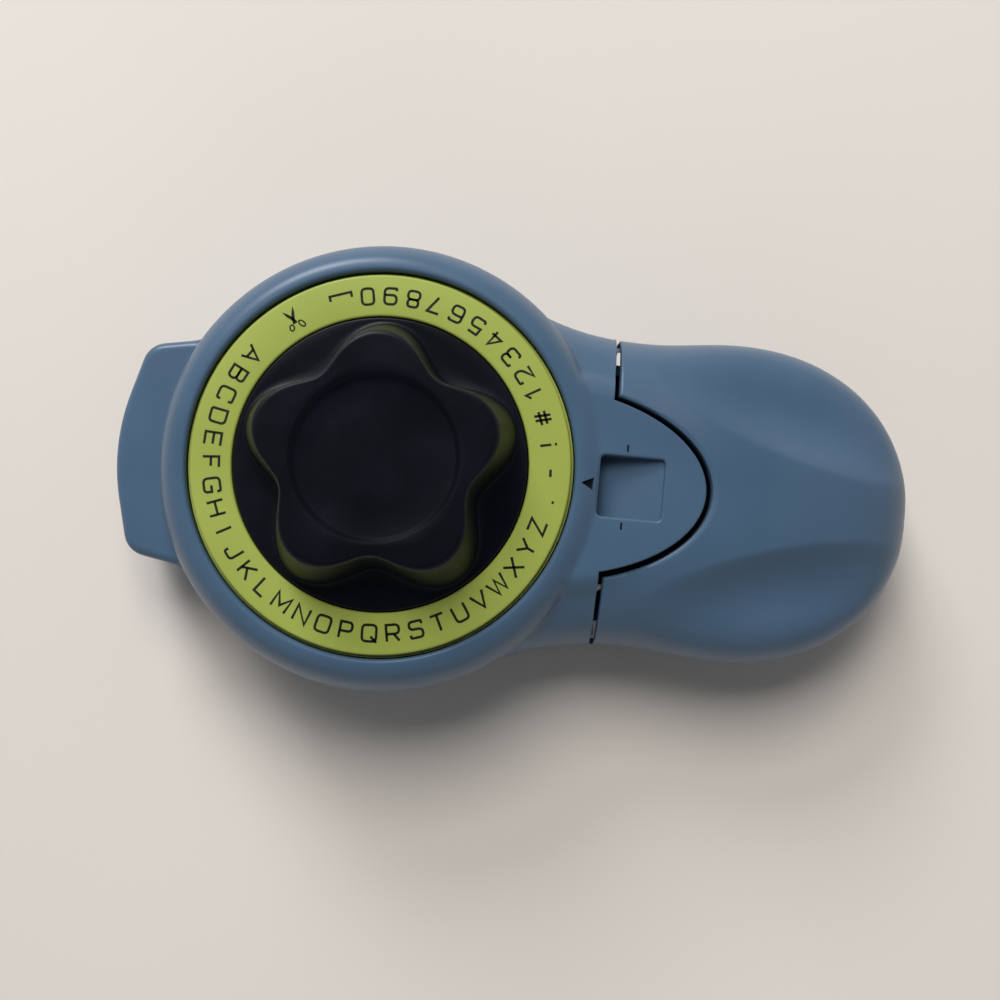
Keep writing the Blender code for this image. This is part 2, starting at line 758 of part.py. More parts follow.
ROCKER_Y = STATION.y + CUT_U * math.sin(STATION_TURN) + SINK
rocker_hole = ROCKER_PIN_RADIUS + FIT
ROCKER_POST_OUT = ROCKER_THICK / 2 + FIT + ROCKER_POST
rocker_posts = [
    box(
        f"rocker_post_{side:+d}",
        (ROCKER_X - WALL, ROCKER_Y + min(side * ROCKER_POST_OUT, side * (ROCKER_POST_OUT - ROCKER_POST)), 0),
        (
            ROCKER_X + WALL,
            ROCKER_Y + max(side * ROCKER_POST_OUT, side * (ROCKER_POST_OUT - ROCKER_POST)),
            ROCKER_Z + ROCKER_PIN_RADIUS + WALL / 2,
        ),
    )
    for side in (-1, 1)
]

BAY_IN = FRAME_INNER
BAY_OUT = FRAME_INNER + FRAME_WALL
BAY_LOW_Z = WALL + SINK
bay_long = box(
    "bay_long",
    (BAY_FRONT_U - ROLL_RADIUS / 2, -BAY_OUT, 0),
    (BAY_REAR_U + BAY_IN, -BAY_IN, BAY_TOP_Z),
)
bay_short = box("bay_short", (BAY_FRONT_U, BAY_IN, 0), (BAY_REAR_U, BAY_OUT, BAY_TOP_Z))
bay_front = box("bay_front", (BAY_FRONT_U, -BAY_OUT, 0), (BAY_FRONT_U + FRAME_WALL, BAY_OUT, BAY_TOP_Z))
ROLL_Z = TAPE_Z - TAPE_THICK / 2 - FIT - ROLL_RADIUS
axle_hole = rod(
    "axle_hole",
    STUB_RADIUS + FIT,
    (ROLL_U, -BAY_OUT - FIT, ROLL_Z),
    (ROLL_U, BAY_OUT + FIT, ROLL_Z),
)
axle_throat = box(
    "axle_throat",
    (ROLL_U - STUB_RADIUS + FIT, -BAY_OUT - FIT, 0),
    (ROLL_U + STUB_RADIUS - FIT, BAY_OUT + FIT, ROLL_Z),
)
on_tape_line(bay_long, bay_short, bay_front, axle_hole, axle_throat)
for wall in (bay_long, bay_short):
    cut(wall, axle_hole, axle_throat)

seat = post("spring_seat", SPRING_SEAT, SPRING_X, SPRING_Y, 0, SPRING_LOW_Z - FIT)
peg = post("spring_peg", SPRING_PEG, SPRING_X, SPRING_Y, 0, SPRING_LOW_Z + SPRING_PEG_HEIGHT)
DOOR_END_X = DOOR_HINGE_X + DOOR_LENGTH
DOOR_TOP_Z = DOOR_RECESS + DOOR_THICK
door_stop = box(
    "door_stop",
    (DOOR_END_X - WALL, -THUMB_NOTCH, DOOR_TOP_Z + FIT),
    (DOOR_END_X + WALL, THUMB_NOTCH, DOOR_TOP_Z + FIT + WALL),
)
stop_foot = box(
    "stop_foot",
    (DOOR_END_X + DOOR_GAP + NUDGE, -THUMB_NOTCH + FIT, DOOR_THICK / 2),
    (DOOR_END_X + WALL - FIT, THUMB_NOTCH - FIT, DOOR_TOP_Z + WALL),
)
HINGE_Z = DOOR_RECESS + KNUCKLE_RADIUS
cut(hollow, *legs, *waist_posts, *waist_bases, *nose_posts, *bearings, *rocker_posts)
cut(hollow, bay_long, bay_short, bay_front, seat, peg)
join(LOWER, lower_waist, lower_tub, lower_nose)
cut(LOWER, hollow, above_rim)

door_mouth = box(
    "door_mouth",
    (DOOR_HINGE_X - KNUCKLE_RADIUS - DOOR_GAP, -DOOR_HALF - DOOR_GAP, -OVERRUN),
    (DOOR_END_X + DOOR_GAP, DOOR_HALF + DOOR_GAP, BAY_LOW_Z + WALL),
)
lugs = [
    box(
        f"lug_{side:+d}",
        (
            DOOR_HINGE_X - KNUCKLE_RADIUS - DOOR_GAP - WALL,
            min(side * (KNUCKLE_HALF + FIT), side * (KNUCKLE_HALF + FIT + LUG_WIDTH)),
            DOOR_RECESS,
        ),
        (
            DOOR_HINGE_X + KNUCKLE_RADIUS - DOOR_GAP,
            max(side * (KNUCKLE_HALF + FIT), side * (KNUCKLE_HALF + FIT + LUG_WIDTH)),
            HINGE_Z + KNUCKLE_RADIUS,
        ),
    )
    for side in (-1, 1)
]
door_pin_hole = rod(
    "door_pin_hole",
    DOOR_PIN_RADIUS + FIT,
    (DOOR_HINGE_X, -DOOR_HALF, HINGE_Z),
    (DOOR_HINGE_X, DOOR_HALF, HINGE_Z),
    TINY_STEPS,
)
thumb = post("thumb_notch", THUMB_NOTCH, DOOR_END_X + DOOR_GAP, 0, -OVERRUN, DOOR_RECESS + SINK)
cut(LOWER, door_mouth)
join(LOWER, *lugs, stop_foot, door_stop)
cut(LOWER, door_pin_hole, thumb)

rocker_pin_hole = rod(
    "rocker_pin_hole",
    rocker_hole,
    (ROCKER_X, ROCKER_Y - ROCKER_POST_OUT - FIT, ROCKER_Z),
    (ROCKER_X, ROCKER_Y + ROCKER_POST_OUT + FIT, ROCKER_Z),
    TINY_STEPS,
)
cut(LOWER, rocker_pin_hole)
SCREW_HOLE = SCREW_RADIUS + FIT
for x, y in ((WAIST_SCREW_X, -WAIST_SCREW_Y), (WAIST_SCREW_X, WAIST_SCREW_Y)):
    cut(
        LOWER,
        post("waist_hole", SCREW_HOLE, x, y, -OVERRUN, SEAM_Z + OVERRUN, TINY_STEPS),
        post("waist_counterbore", SCREW_HEAD + FIT, x, y, -OVERRUN, SCREW_FLOOR),
    )
for x, y in ((NOSE_SCREW_X, -NOSE_SCREW_Y), (NOSE_SCREW_X, NOSE_SCREW_Y)):
    cut(
        LOWER,
        post("nose_hole", SCREW_HOLE, x, y, 0, SEAM_Z + OVERRUN, TINY_STEPS),
        post("nose_counterbore", SCREW_HEAD + FIT, x, y, 0, NOSE_LOW_Z + SCREW_FLOOR),
    )
for turn in LEG_TURNS:
    x, y = LEG_RING * math.cos(turn), LEG_RING * math.sin(turn)
    cut(LOWER, post("leg_hole", SCREW_HOLE, x, y, CHASSIS_Z - SCREW_BITE * 2, SEAM_Z + OVERRUN, TINY_STEPS))

# Upper housing: the domed ring, the waist behind it, the tongue over the handle, and the nose tab
LIP_IN = RING_OUTER + DIAL_GAP
LIP_OUT = LIP_IN + BEZEL_LIP
SHOULDER_Z = BEZEL_TOP_Z - SHOULDER_DROP
UPPER_LOW_Z = SEAM_Z + FIT
outer_arc = arc(LIP_OUT, SHOULDER_Z, HEAD_RADIUS - LIP_OUT, SHOULDER_DROP, 90, 0, 5)
inner_arc = arc(LIP_OUT, SHOULDER_Z, HEAD_RADIUS - WALL - LIP_OUT, SHOULDER_DROP - WALL, 90, 0, 3)
UPPER = turned(
    "upper_housing",
    [(0, BEZEL_TOP_Z)] + outer_arc + [(HEAD_RADIUS, SEAM_Z - OVERRUN), (0, SEAM_Z - OVERRUN)],
    HEAD_STEPS,
    BLUE,
    closed=False,
)
cavity_low = RIM_Z - OVERRUN * 4
cavity = turned(
    "cavity",
    [(0, BEZEL_TOP_Z - WALL)] + inner_arc + [(HEAD_RADIUS - WALL, cavity_low), (0, cavity_low)],
    HEAD_STEPS,
    closed=False,
)
deck_low = RIM_Z - OVERRUN
half_step = math.pi / HEAD_STEPS
deck = moulded_top("deck", FLARE_X, SPLIT_X - SPLIT_GAP / 2, 0, deck_low, count=7)
deck_hollow = moulded_top("deck_hollow", FLARE_X - SINK, SPLIT_X + OVERRUN, WALL, deck_low - OVERRUN, count=7)
seam_slab = box(
    "seam_slab",
    (NOSE_TIP_X - OVERRUN, -HEAD_RADIUS - OVERRUN, 0),
    (TAIL_X, HEAD_RADIUS + OVERRUN, UPPER_LOW_Z),
)
waist_bosses = [post(f"waist_boss_{y:+.3f}", SCREW_POST, WAIST_SCREW_X, y, 0, TONGUE_TOP_Z)
                for y in (-WAIST_SCREW_Y, WAIST_SCREW_Y)]
rib_half = FRAME_WALL
hold_rib = box(
    "hold_rib",
    (PIVOT_X - rib_half, BEARING_IN, 0),
    (PIVOT_X + rib_half, BEARING_OUT, TONGUE_TOP_Z + WALL),
)
rib_foot = box(
    "rib_foot",
    (PIVOT_X - rib_half + NUDGE, BEARING_IN + NUDGE, PIVOT_Z + PIVOT_RADIUS + FIT),
    (PIVOT_X + rib_half - NUDGE, BEARING_OUT - NUDGE, TAPE_Z),
)
nose_top = loft(
    "nose_top",
    [
        [(x, y, SEAM_Z - OVERRUN / 2) for x, y in nose_outline(0)],
        [(x, y, NOSE_TOP_Z - NOSE_EDGE) for x, y in nose_outline(0)],
        [(x, y, NOSE_TOP_Z) for x, y in nose_outline(NOSE_EDGE)],
    ],
)
nose_top_hollow = loft(
    "nose_top_hollow",
    [[(x, y, z) for x, y in nose_outline(WALL)] for z in (SEAM_Z - OVERRUN * 2, NOSE_TOP_Z - WALL)],
)
nose_bosses = [post(f"nose_boss_{y:+.3f}", SCREW_POST, NOSE_SCREW_X, y, 0, NOSE_TOP_Z + OVERRUN)
               for y in (-NOSE_SCREW_Y, NOSE_SCREW_Y)]
tongue = extruded(
    "tongue", [tongue_outline(0, RING_OUTER)], TONGUE_TOP_Z - TONGUE_THICK, TONGUE_TOP_Z
)
tray_floor = TONGUE_TOP_Z - WINDOW_DEPTH - WALL / 2
tray = box(
    "window_tray",
    (WINDOW_X - WINDOW_LENGTH / 2 - FRAME_WALL, -WINDOW_WIDTH / 2 - FRAME_WALL, tray_floor),
    (WINDOW_X + WINDOW_LENGTH / 2, WINDOW_WIDTH / 2 + FRAME_WALL, TONGUE_TOP_Z - SINK),
)
window = side_extruded(
    "window",
    [
        [
            (WINDOW_X - WINDOW_LENGTH / 2, TONGUE_TOP_Z - WINDOW_DEPTH),
            (WINDOW_X + WINDOW_LENGTH / 2, TONGUE_TOP_Z),
            (WINDOW_X + WINDOW_LENGTH / 2, TONGUE_TOP_Z + OVERRUN),
            (WINDOW_X - WINDOW_LENGTH / 2, TONGUE_TOP_Z + OVERRUN),
        ]
    ],
    -WINDOW_WIDTH / 2,
    WINDOW_WIDTH / 2,
)
dial_well = turned(
    "dial_well",
    [
        (0, BEZEL_TOP_Z + OVERRUN),
        (LIP_OUT + OVERRUN, BEZEL_TOP_Z + OVERRUN),
        (LIP_IN, BEZEL_TOP_Z - BEZEL_LIP),
        (LIP_IN, 0),
        (0, 0),
    ],
    HEAD_STEPS,
    closed=False,
)
dial_well.rotation_euler = (0, 0, half_step)
EXIT_HALF = TAPE_WIDTH / 2 + FIT * 2
exit_slot = box(
    "exit_slot",
    (-HEAD_RADIUS, -EXIT_HALF, TAPE_Z - SINK),
    (-ANVIL_LENGTH, EXIT_HALF, TAPE_Z + SINK),
)
on_tape_line(exit_slot)
join(cavity, deck_hollow, nose_top_hollow)
cut(cavity, *waist_bosses, hold_rib, *nose_bosses)
join(UPPER, deck, nose_top)
cut(UPPER, cavity)
cut(UPPER, seam_slab)
join(UPPER, tongue, tray, rib_foot)
cut(UPPER, dial_well, window, exit_slot)
upper_holes = (
    (WAIST_SCREW_X, WAIST_SCREW_Y, SEAM_Z + SCREW_BITE),
    (NOSE_SCREW_X, NOSE_SCREW_Y, NOSE_TOP_Z - WALL),
)
for x, y, depth in upper_holes:
    for side in (-1, 1):
        cut(UPPER, post("upper_hole", SCREW_HOLE, x, side * y, SEAM_Z - OVERRUN, depth + FIT, TINY_STEPS))

# Squeeze handle: a thin shell over the tub, with two arms that reach forward to the pivot shaft
handle_front = SPLIT_X + SPLIT_GAP / 2
HANDLE = moulded_top("squeeze_handle", handle_front, TAIL_X, 0, SKIRT_LOW_Z, BLUE, to_tail=True)
handle_hollow = moulded_top(
    "handle_hollow", handle_front - OVERRUN, TAIL_X, WALL, SKIRT_LOW_Z - OVERRUN, to_tail=True
)
tongue_gap = extruded("tongue_gap", [tongue_outline(TONGUE_GAP, NOSE_TOP_Z)], CHASSIS_Z, KNOB_TOP_Z)
arm_outline = circle(ARM_EYE, SMALL_STEPS, (PIVOT_X, PIVOT_Z))
riser = (ARM_RISE_X - ARM_RISE_WIDTH / 2, ARM_RISE_X + ARM_RISE_WIDTH / 2)
arm_bar = [
    (PIVOT_X, ARM_LOW_Z),
    (riser[1], ARM_LOW_Z),
    (riser[1], ARM_TOP_Z),
    (riser[0], ARM_TOP_Z),
    (riser[0], ARM_HIGH_Z),
    (PIVOT_X, ARM_HIGH_Z),
]
cut(HANDLE, handle_hollow)
for side in (-1, 1):
    near, far = sorted((side * ARM_INNER_Y, side * (ARM_INNER_Y + ARM_THICK)))
    eye = side_extruded(f"arm_eye_{side:+d}", [arm_outline], near, far)
    bar = side_extruded(f"arm_bar_{side:+d}", [arm_bar], near + NUDGE, far - NUDGE)
    join(HANDLE, bar, eye)
cross_bar = rod(
    "cross_bar",
    CROSS_BAR_RADIUS,
    (CROSS_BAR_X, -ARM_INNER_Y - ARM_THICK / 2, CROSS_BAR_Z),
    (CROSS_BAR_X, ARM_INNER_Y + ARM_THICK / 2, CROSS_BAR_Z),
    TINY_STEPS,
)
boss_rim = circle(SPRING_SEAT, SMALL_STEPS, (SPRING_X, SPRING_Y))
boss_top_z = min(skin_z(x, y, WALL / 2) for x, y in boss_rim)
spring_boss = post("spring_boss", SPRING_SEAT, SPRING_X, SPRING_Y, SPRING_TOP_Z + FIT, boss_top_z)
peg_low_z = SPRING_TOP_Z - SPRING_PEG_HEIGHT
top_peg = post("top_peg", SPRING_PEG, SPRING_X, SPRING_Y, peg_low_z, SPRING_TOP_Z + WALL)
join(HANDLE, cross_bar, spring_boss, top_peg)
arm_bore = rod(
    "arm_bore",
    PIVOT_RADIUS + FIT,
    (PIVOT_X, -PIVOT_HALF, PIVOT_Z),
    (PIVOT_X, PIVOT_HALF, PIVOT_Z),
)
cut(HANDLE, tongue_gap, arm_bore)

SHAFT = rod(
    "pivot_shaft",
    PIVOT_RADIUS,
    (PIVOT_X, -PIVOT_HALF, PIVOT_Z),
    (PIVOT_X, BEARING_OUT, PIVOT_Z),
    finish=STEEL,
)
lever_y = STATION.y
LEVER_EYE = PIVOT_RADIUS + WALL
lever_shape = circle(LEVER_EYE, SMALL_STEPS, (PIVOT_X, PIVOT_Z))
lever_bar = [
    (PIVOT_X, PIVOT_Z - LEVER_NOSE),
    (PIVOT_X, PIVOT_Z + LEVER_NOSE),
    (STATION.x, PIVOT_Z + LEVER_NOSE),
    (STATION.x - LEVER_NOSE, PIVOT_Z),
    (STATION.x, PIVOT_Z - LEVER_NOSE),
]
LEVER = side_extruded(
    "press_lever", [lever_shape], lever_y - LEVER_THICK / 2, lever_y + LEVER_THICK / 2, STEEL
)
lever_half = LEVER_THICK / 2 - NUDGE
join(LEVER, side_extruded("lever_bar", [lever_bar], lever_y - lever_half, lever_y + lever_half))
cut(LEVER, arm_bore)
on_axis("handle_axis", (PIVOT_X, 0, PIVOT_Z), HANDLE, SHAFT, LEVER)

# Chassis: a round plate on three legs, with the hammer's sleeve, the anvil and the tape's feed
CHASSIS_TOP = CHASSIS_Z + CHASSIS_THICK
CHASSIS = rod(
    "chassis", CHASSIS_RADIUS, (0, 0, CHASSIS_Z), (0, 0, CHASSIS_TOP), HEAD_STEPS // 2, WHITE
)
hammer_u = HAMMER_LENGTH / 2 + FIT
hammer_v = HAMMER_WIDTH / 2 + FIT
sleeve_low = CHASSIS_Z - SLEEVE_DEPTH
LOWER_WHEEL_Z = TAPE_Z - TAPE_THICK / 2 - DIE_CLEAR - DIE_HEIGHT - WHEEL_THICK
UPPER_WHEEL_Z = TAPE_Z + TAPE_THICK / 2 + DIE_CLEAR
anvil_low = UPPER_WHEEL_Z + WHEEL_THICK + FIT
anvil_top = anvil_low + ANVIL_THICK
NIP_Z = TAPE_Z + TAPE_THICK / 2 + FIT + NIP_RADIUS
FEED_Z = TAPE_Z - TAPE_THICK / 2 - FIT - FEED_RADIUS
outrigger = box(
    "outrigger",
    (-hammer_u - SLEEVE_WALL, -FRAME_INNER - SINK, CHASSIS_Z),
    (FRAME_FRONT_U + SINK, BAY_OUT + NUDGE, CHASSIS_TOP),
)
sleeve = box(
    "sleeve",
    (-hammer_u - SLEEVE_WALL, -hammer_v - SLEEVE_WALL, sleeve_low),
    (hammer_u + SLEEVE_WALL, hammer_v + SLEEVE_WALL, CHASSIS_TOP - FIT),
)
anvil_post = box(
    "anvil_post",
    (-ANVIL_LENGTH / 2, -ANVIL_REACH, CHASSIS_Z),
    (ANVIL_LENGTH / 2, -FRAME_INNER, anvil_top),
)
anvil = box(
    "anvil",
    (-ANVIL_LENGTH / 2 + NUDGE, -ANVIL_REACH + NUDGE, anvil_low),
    (ANVIL_LENGTH / 2 - NUDGE, ANVIL_INNER, anvil_top - NUDGE),
)
cheek_top = NIP_Z + NIP_AXLE_RADIUS + FRAME_WALL
cheeks = [
    box(
        f"cheek_{side:+d}",
        (FRAME_FRONT_U, min(side * BAY_IN, side * BAY_OUT), CHASSIS_Z),
        (FRAME_NECK_U, max(side * BAY_IN, side * BAY_OUT), cheek_top),
    )
    for side in (-1, 1)
]
guide = box(
    "blade_guide",
    (CUT_U - BLADE_THICK / 2 - FIT - FRAME_WALL / 2, -FRAME_INNER - NUDGE, CHASSIS_Z - GUIDE_DEPTH),
    (CUT_U + BLADE_THICK / 2 + FIT + FRAME_WALL / 2, FRAME_INNER + SINK, CHASSIS_TOP - FIT),
)
hammer_hole = box(
    "hammer_hole",
    (-hammer_u, -hammer_v, sleeve_low - OVERRUN),
    (hammer_u, hammer_v, CHASSIS_TOP + OVERRUN),
)
blade_slot = box(
    "blade_slot",
    (CUT_U - BLADE_THICK / 2 - FIT, -BLADE_WIDTH / 2 - FIT, CHASSIS_Z - GUIDE_DEPTH - OVERRUN),
    (CUT_U + BLADE_THICK / 2 + FIT, BLADE_WIDTH / 2 + FIT, CHASSIS_TOP + OVERRUN),
)
feed_bore = rod(
    "feed_bore",
    AXLE_RADIUS + FIT,
    (FEED_U, -BAY_OUT - FIT, FEED_Z),
    (FEED_U, BAY_OUT + FIT, FEED_Z),
    TINY_STEPS,
)
nip_bore = rod(
    "nip_bore",
    NIP_AXLE_RADIUS + FIT,
    (FEED_U, -BAY_OUT - FIT, NIP_Z),
    (FEED_U, BAY_OUT + FIT, NIP_Z),
    TINY_STEPS,
)
roller_space = box(
    "roller_space",
    (FRAME_FRONT_U - SINK, -TAPE_WIDTH / 2 - FIT, CHASSIS_Z - OVERRUN),
    (FRAME_NECK_U, TAPE_WIDTH / 2 + FIT, CHASSIS_TOP + OVERRUN),
)
shaft_rib = box(
    "shaft_rib",
    (PIVOT_X - rib_half, -BEARING_OUT, PIVOT_Z + PIVOT_RADIUS + FIT),
    (PIVOT_X + rib_half, -BEARING_IN, CHASSIS_Z + WALL / 2),
)
on_tape_line(outrigger, sleeve, anvil_post, anvil, *cheeks, guide, hammer_hole, blade_slot)
on_tape_line(feed_bore, nip_bore, roller_space)
join(CHASSIS, outrigger, sleeve, anvil_post, anvil, *cheeks, guide, shaft_rib)
cut(CHASSIS, hammer_hole, blade_slot, feed_bore, nip_bore, roller_space)
cut(CHASSIS, post("bush_hole", BUSH_RADIUS + FIT, 0, 0, sleeve_low, TAPE_Z))
for turn in LEG_TURNS:
    x, y = LEG_RING * math.cos(turn), LEG_RING * math.sin(turn)
    cut(CHASSIS, post("chassis_hole", SCREW_HOLE, x, y, sleeve_low, TAPE_Z, TINY_STEPS))

HAMMER_LOW_Z = PIVOT_Z + LEVER_NOSE + FIT
hammer_top = LOWER_WHEEL_Z - FIT - HAMMER_STROKE
HAMMER = box(
    "press_hammer",
    (-HAMMER_LENGTH / 2, -HAMMER_WIDTH / 2, HAMMER_LOW_Z),
    (HAMMER_LENGTH / 2, HAMMER_WIDTH / 2, hammer_top - HAMMER_HEAD_HEIGHT),
    STEEL,
)
hammer_head = box(
    "hammer_head",
    (-HAMMER_HEAD_LENGTH / 2, -HAMMER_HEAD_WIDTH / 2, hammer_top - HAMMER_HEAD_HEIGHT - WALL),
    (HAMMER_HEAD_LENGTH / 2, HAMMER_HEAD_WIDTH / 2, hammer_top),
)
on_tape_line(HAMMER, hammer_head)
join(HAMMER, hammer_head)

# Cutter: a blade on a vertical slide, lifted by a rocker that the handle's cross bar pushes down
blade_top = TAPE_Z - TAPE_THICK / 2 - FIT - CUTTER_STROKE
BLADE = side_extruded(
    "cutter_blade",
    [
        [
            (CUT_U - BLADE_THICK / 2, BLADE_LOW_Z),
            (CUT_U + BLADE_THICK / 2, BLADE_LOW_Z),
            (CUT_U + BLADE_THICK / 2, blade_top),
            (CUT_U - BLADE_THICK / 2, blade_top - BLADE_EDGE),
        ]
    ],
    -BLADE_WIDTH / 2,
    BLADE_WIDTH / 2,
    STEEL,
)
carrier = box(
    "blade_carrier",
    (CUT_U - CARRIER_THICK / 2, -BLADE_WIDTH / 2, BLADE_LOW_Z),
    (CUT_U + CARRIER_THICK / 2, BLADE_WIDTH / 2, BLADE_LOW_Z + CARRIER_HEIGHT),
)
on_tape_line(BLADE, carrier)
join(BLADE, carrier)
blade_x = STATION.x + CUT_U * math.cos(STATION_TURN)
tip_z = BLADE_LOW_Z - FIT - ROCKER_TIP
push_z = CROSS_BAR_Z - CROSS_BAR_RADIUS - FIT - ROCKER_TIP
ROCKER = side_extruded(
    "cutter_rocker",
    [circle(ROCKER_EYE, TINY_STEPS, (ROCKER_X, ROCKER_Z))],
    ROCKER_Y - ROCKER_THICK / 2,
    ROCKER_Y + ROCKER_THICK / 2,
    STEEL,
)
rocker_bar = side_extruded(
    "rocker_bar",
    [
        [
            (blade_x, tip_z - ROCKER_TIP),
            (ROCKER_X, ROCKER_Z - ROCKER_TIP * 2),
            (CROSS_BAR_X, push_z - ROCKER_TIP),
            (CROSS_BAR_X + ROCKER_TIP, push_z),
            (CROSS_BAR_X, push_z + ROCKER_TIP),
            (ROCKER_X, ROCKER_Z + ROCKER_TIP * 2),
            (blade_x, tip_z + ROCKER_TIP),
            (blade_x - ROCKER_TIP, tip_z),
        ]
    ],
    ROCKER_Y - ROCKER_THICK / 2 + NUDGE,
    ROCKER_Y + ROCKER_THICK / 2 - NUDGE,
)
join(ROCKER, rocker_bar)
cut(ROCKER, rocker_pin_hole)
ROCKER_PIN = rod(
    "rocker_pin",
    ROCKER_PIN_RADIUS,
    (ROCKER_X, ROCKER_Y - ROCKER_POST_OUT, ROCKER_Z),
    (ROCKER_X, ROCKER_Y + ROCKER_POST_OUT, ROCKER_Z),
    TINY_STEPS,
    STEEL,
)
on_axis("rocker_axis", (ROCKER_X, ROCKER_Y, ROCKER_Z), ROCKER, ROCKER_PIN)

# Feed pawl on the cross bar, which turns the feed roller as the handle comes back up
pawl_tip = (CROSS_BAR_X + PAWL_REACH_X, CROSS_BAR_Z + PAWL_REACH_Z)
PAWL = side_extruded(
    "feed_pawl",
    [circle(PAWL_EYE, TINY_STEPS, (CROSS_BAR_X, CROSS_BAR_Z))],
    PAWL_Y - PAWL_WIDTH / 2,
    PAWL_Y + PAWL_WIDTH / 2,
    STEEL,
)
pawl_bar = side_extruded(
    "pawl_bar",
    [
        [
            (CROSS_BAR_X - PAWL_TIP * 2, CROSS_BAR_Z + PAWL_TIP),
            (CROSS_BAR_X + PAWL_TIP, CROSS_BAR_Z + PAWL_TIP * 2),
            (pawl_tip[0] + PAWL_TIP, pawl_tip[1] + PAWL_TIP),
            (pawl_tip[0] - PAWL_TIP, pawl_tip[1] + PAWL_TIP),
        ]
    ],
    PAWL_Y - PAWL_WIDTH / 2 + NUDGE,
    PAWL_Y + PAWL_WIDTH / 2 - NUDGE,
)
join(PAWL, pawl_bar)
cut(
    PAWL,
    rod(
        "pawl_bore",
        CROSS_BAR_RADIUS + FIT,
        (CROSS_BAR_X, PAWL_Y - PAWL_WIDTH, CROSS_BAR_Z),
        (CROSS_BAR_X, PAWL_Y + PAWL_WIDTH, CROSS_BAR_Z),
        TINY_STEPS,
    ),
)
on_axis("pawl_axis", (CROSS_BAR_X, PAWL_Y, CROSS_BAR_Z), PAWL)

# Feed and nip rollers, each with its own axle
roller_half = TAPE_WIDTH / 2


def roller(name, radius, bore, height, finish, teeth=0, tooth=0.0):
    """A roller across the tape line, with teeth round it if asked."""
    steps = teeth * 2 if teeth else SMALL_STEPS
    rim = []
    for i in range(steps):
        reach = radius - (tooth if teeth and i % 2 else 0)
        rim.append((reach * math.cos(2 * math.pi * i / steps), reach * math.sin(2 * math.pi * i / steps)))
    made = side_extruded(name, [rim, circle(bore, TINY_STEPS)], -roller_half, roller_half, finish)
    on_axis(name + "_axis", (FEED_U, 0, height), made, base=TAPE_LINE)
    made.location = (0, 0, 0)
    return made


def axle(name, radius, u, height, half, finish):
    made = rod(name, radius, (u, -half, height), (u, half, height), TINY_STEPS, finish)
    on_tape_line(made)
    return made


roller("feed_roller", FEED_RADIUS, AXLE_RADIUS + FIT, FEED_Z, RUBBER, FEED_TEETH, FEED_TOOTH)
roller("nip_roller", NIP_RADIUS, NIP_AXLE_RADIUS + FIT, NIP_Z, WHITE)
axle("feed_axle", AXLE_RADIUS, FEED_U, FEED_Z, BAY_OUT, STEEL)
axle("nip_axle", NIP_AXLE_RADIUS, FEED_U, NIP_Z, BAY_OUT, STEEL)

# Tape roll on its core, and the tape drawn from the top of the roll to the slot in the head
axle("reel_axle", STUB_RADIUS, ROLL_U, ROLL_Z, BAY_OUT, WHITE)


def reel(name, outer, bore, steps, finish):
    ring = [(outer, roller_half), (outer, -roller_half), (bore, -roller_half), (bore, roller_half)]
    made = turned(name, ring, steps, finish)
    made.data.transform(Matrix.Rotation(math.pi / 2, 4, "X"))
    on_axis(name + "_axis", (ROLL_U, 0, ROLL_Z), made, base=TAPE_LINE)
    made.location = (0, 0, 0)
    return made


reel("tape_core", CORE_RADIUS, STUB_RADIUS + FIT, SMALL_STEPS, WHITE)
reel("tape_roll", ROLL_RADIUS, CORE_RADIUS + FIT, HEAD_STEPS // 2, TAPE)
TAPE_END_U = math.sqrt((HEAD_RADIUS - FIT) ** 2 - (STATION_RADIUS + TAPE_WIDTH / 2) ** 2)
LEADER = box(
    "label_tape",
    (-TAPE_END_U, -TAPE_WIDTH / 2, TAPE_Z - TAPE_THICK / 2),
    (ROLL_U, TAPE_WIDTH / 2, TAPE_Z + TAPE_THICK / 2),
    TAPE,
)
on_tape_line(LEADER)

# Dial: knob, character ring, hub and shaft turn together, with the two embossing wheels on the hub


def lobed(radius_out, radius_in, steps=KNOB_STEPS):
    outline = []
    for i in range(steps):
        turn = 2 * math.pi * i / steps
        swell = (1 + math.cos(LOBES * (turn - LOBE_TURN))) / 2
        reach = radius_in + (radius_out - radius_in) * swell
        outline.append((reach * math.cos(turn), reach * math.sin(turn)))
    return outline


WEB_Z = RING_TOP_Z - RING_THICK - FIT - DIAL_WEB
DISC_TOP_Z = RING_TOP_Z + FIT
SHAFT_HOLE = SHAFT_RADIUS + FIT
hub_top = WEB_Z - FIT
KNOB = turned(
    "selector_knob",
    [
        (RING_OUTER, WEB_Z + DIAL_WEB),
        (RING_OUTER, WEB_Z),
        (KNOB_HUB, WEB_Z),
        (KNOB_HUB, WEB_Z + DIAL_WEB),
    ],
    HEAD_STEPS,
    NAVY,
)
rings = []
for drop_share, drawn_share in KNOB_ROUND_SHARES:
    rings.append((KNOB_TOP_Z - KNOB_ROUND * drop_share, KNOB_DRAFT + KNOB_ROUND * drawn_share))
rings.sort()
knob_rings = [[(x, y, DISC_TOP_Z - SINK) for x, y in lobed(KNOB_LOBE, KNOB_VALLEY)]]
for z, drawn in rings:
    outline = lobed(KNOB_LOBE - drawn, KNOB_VALLEY - drawn * VALLEY_DRAFT_SHARE)
    knob_rings.append([(x, y, z) for x, y in outline])
body = loft("knob_body", knob_rings)
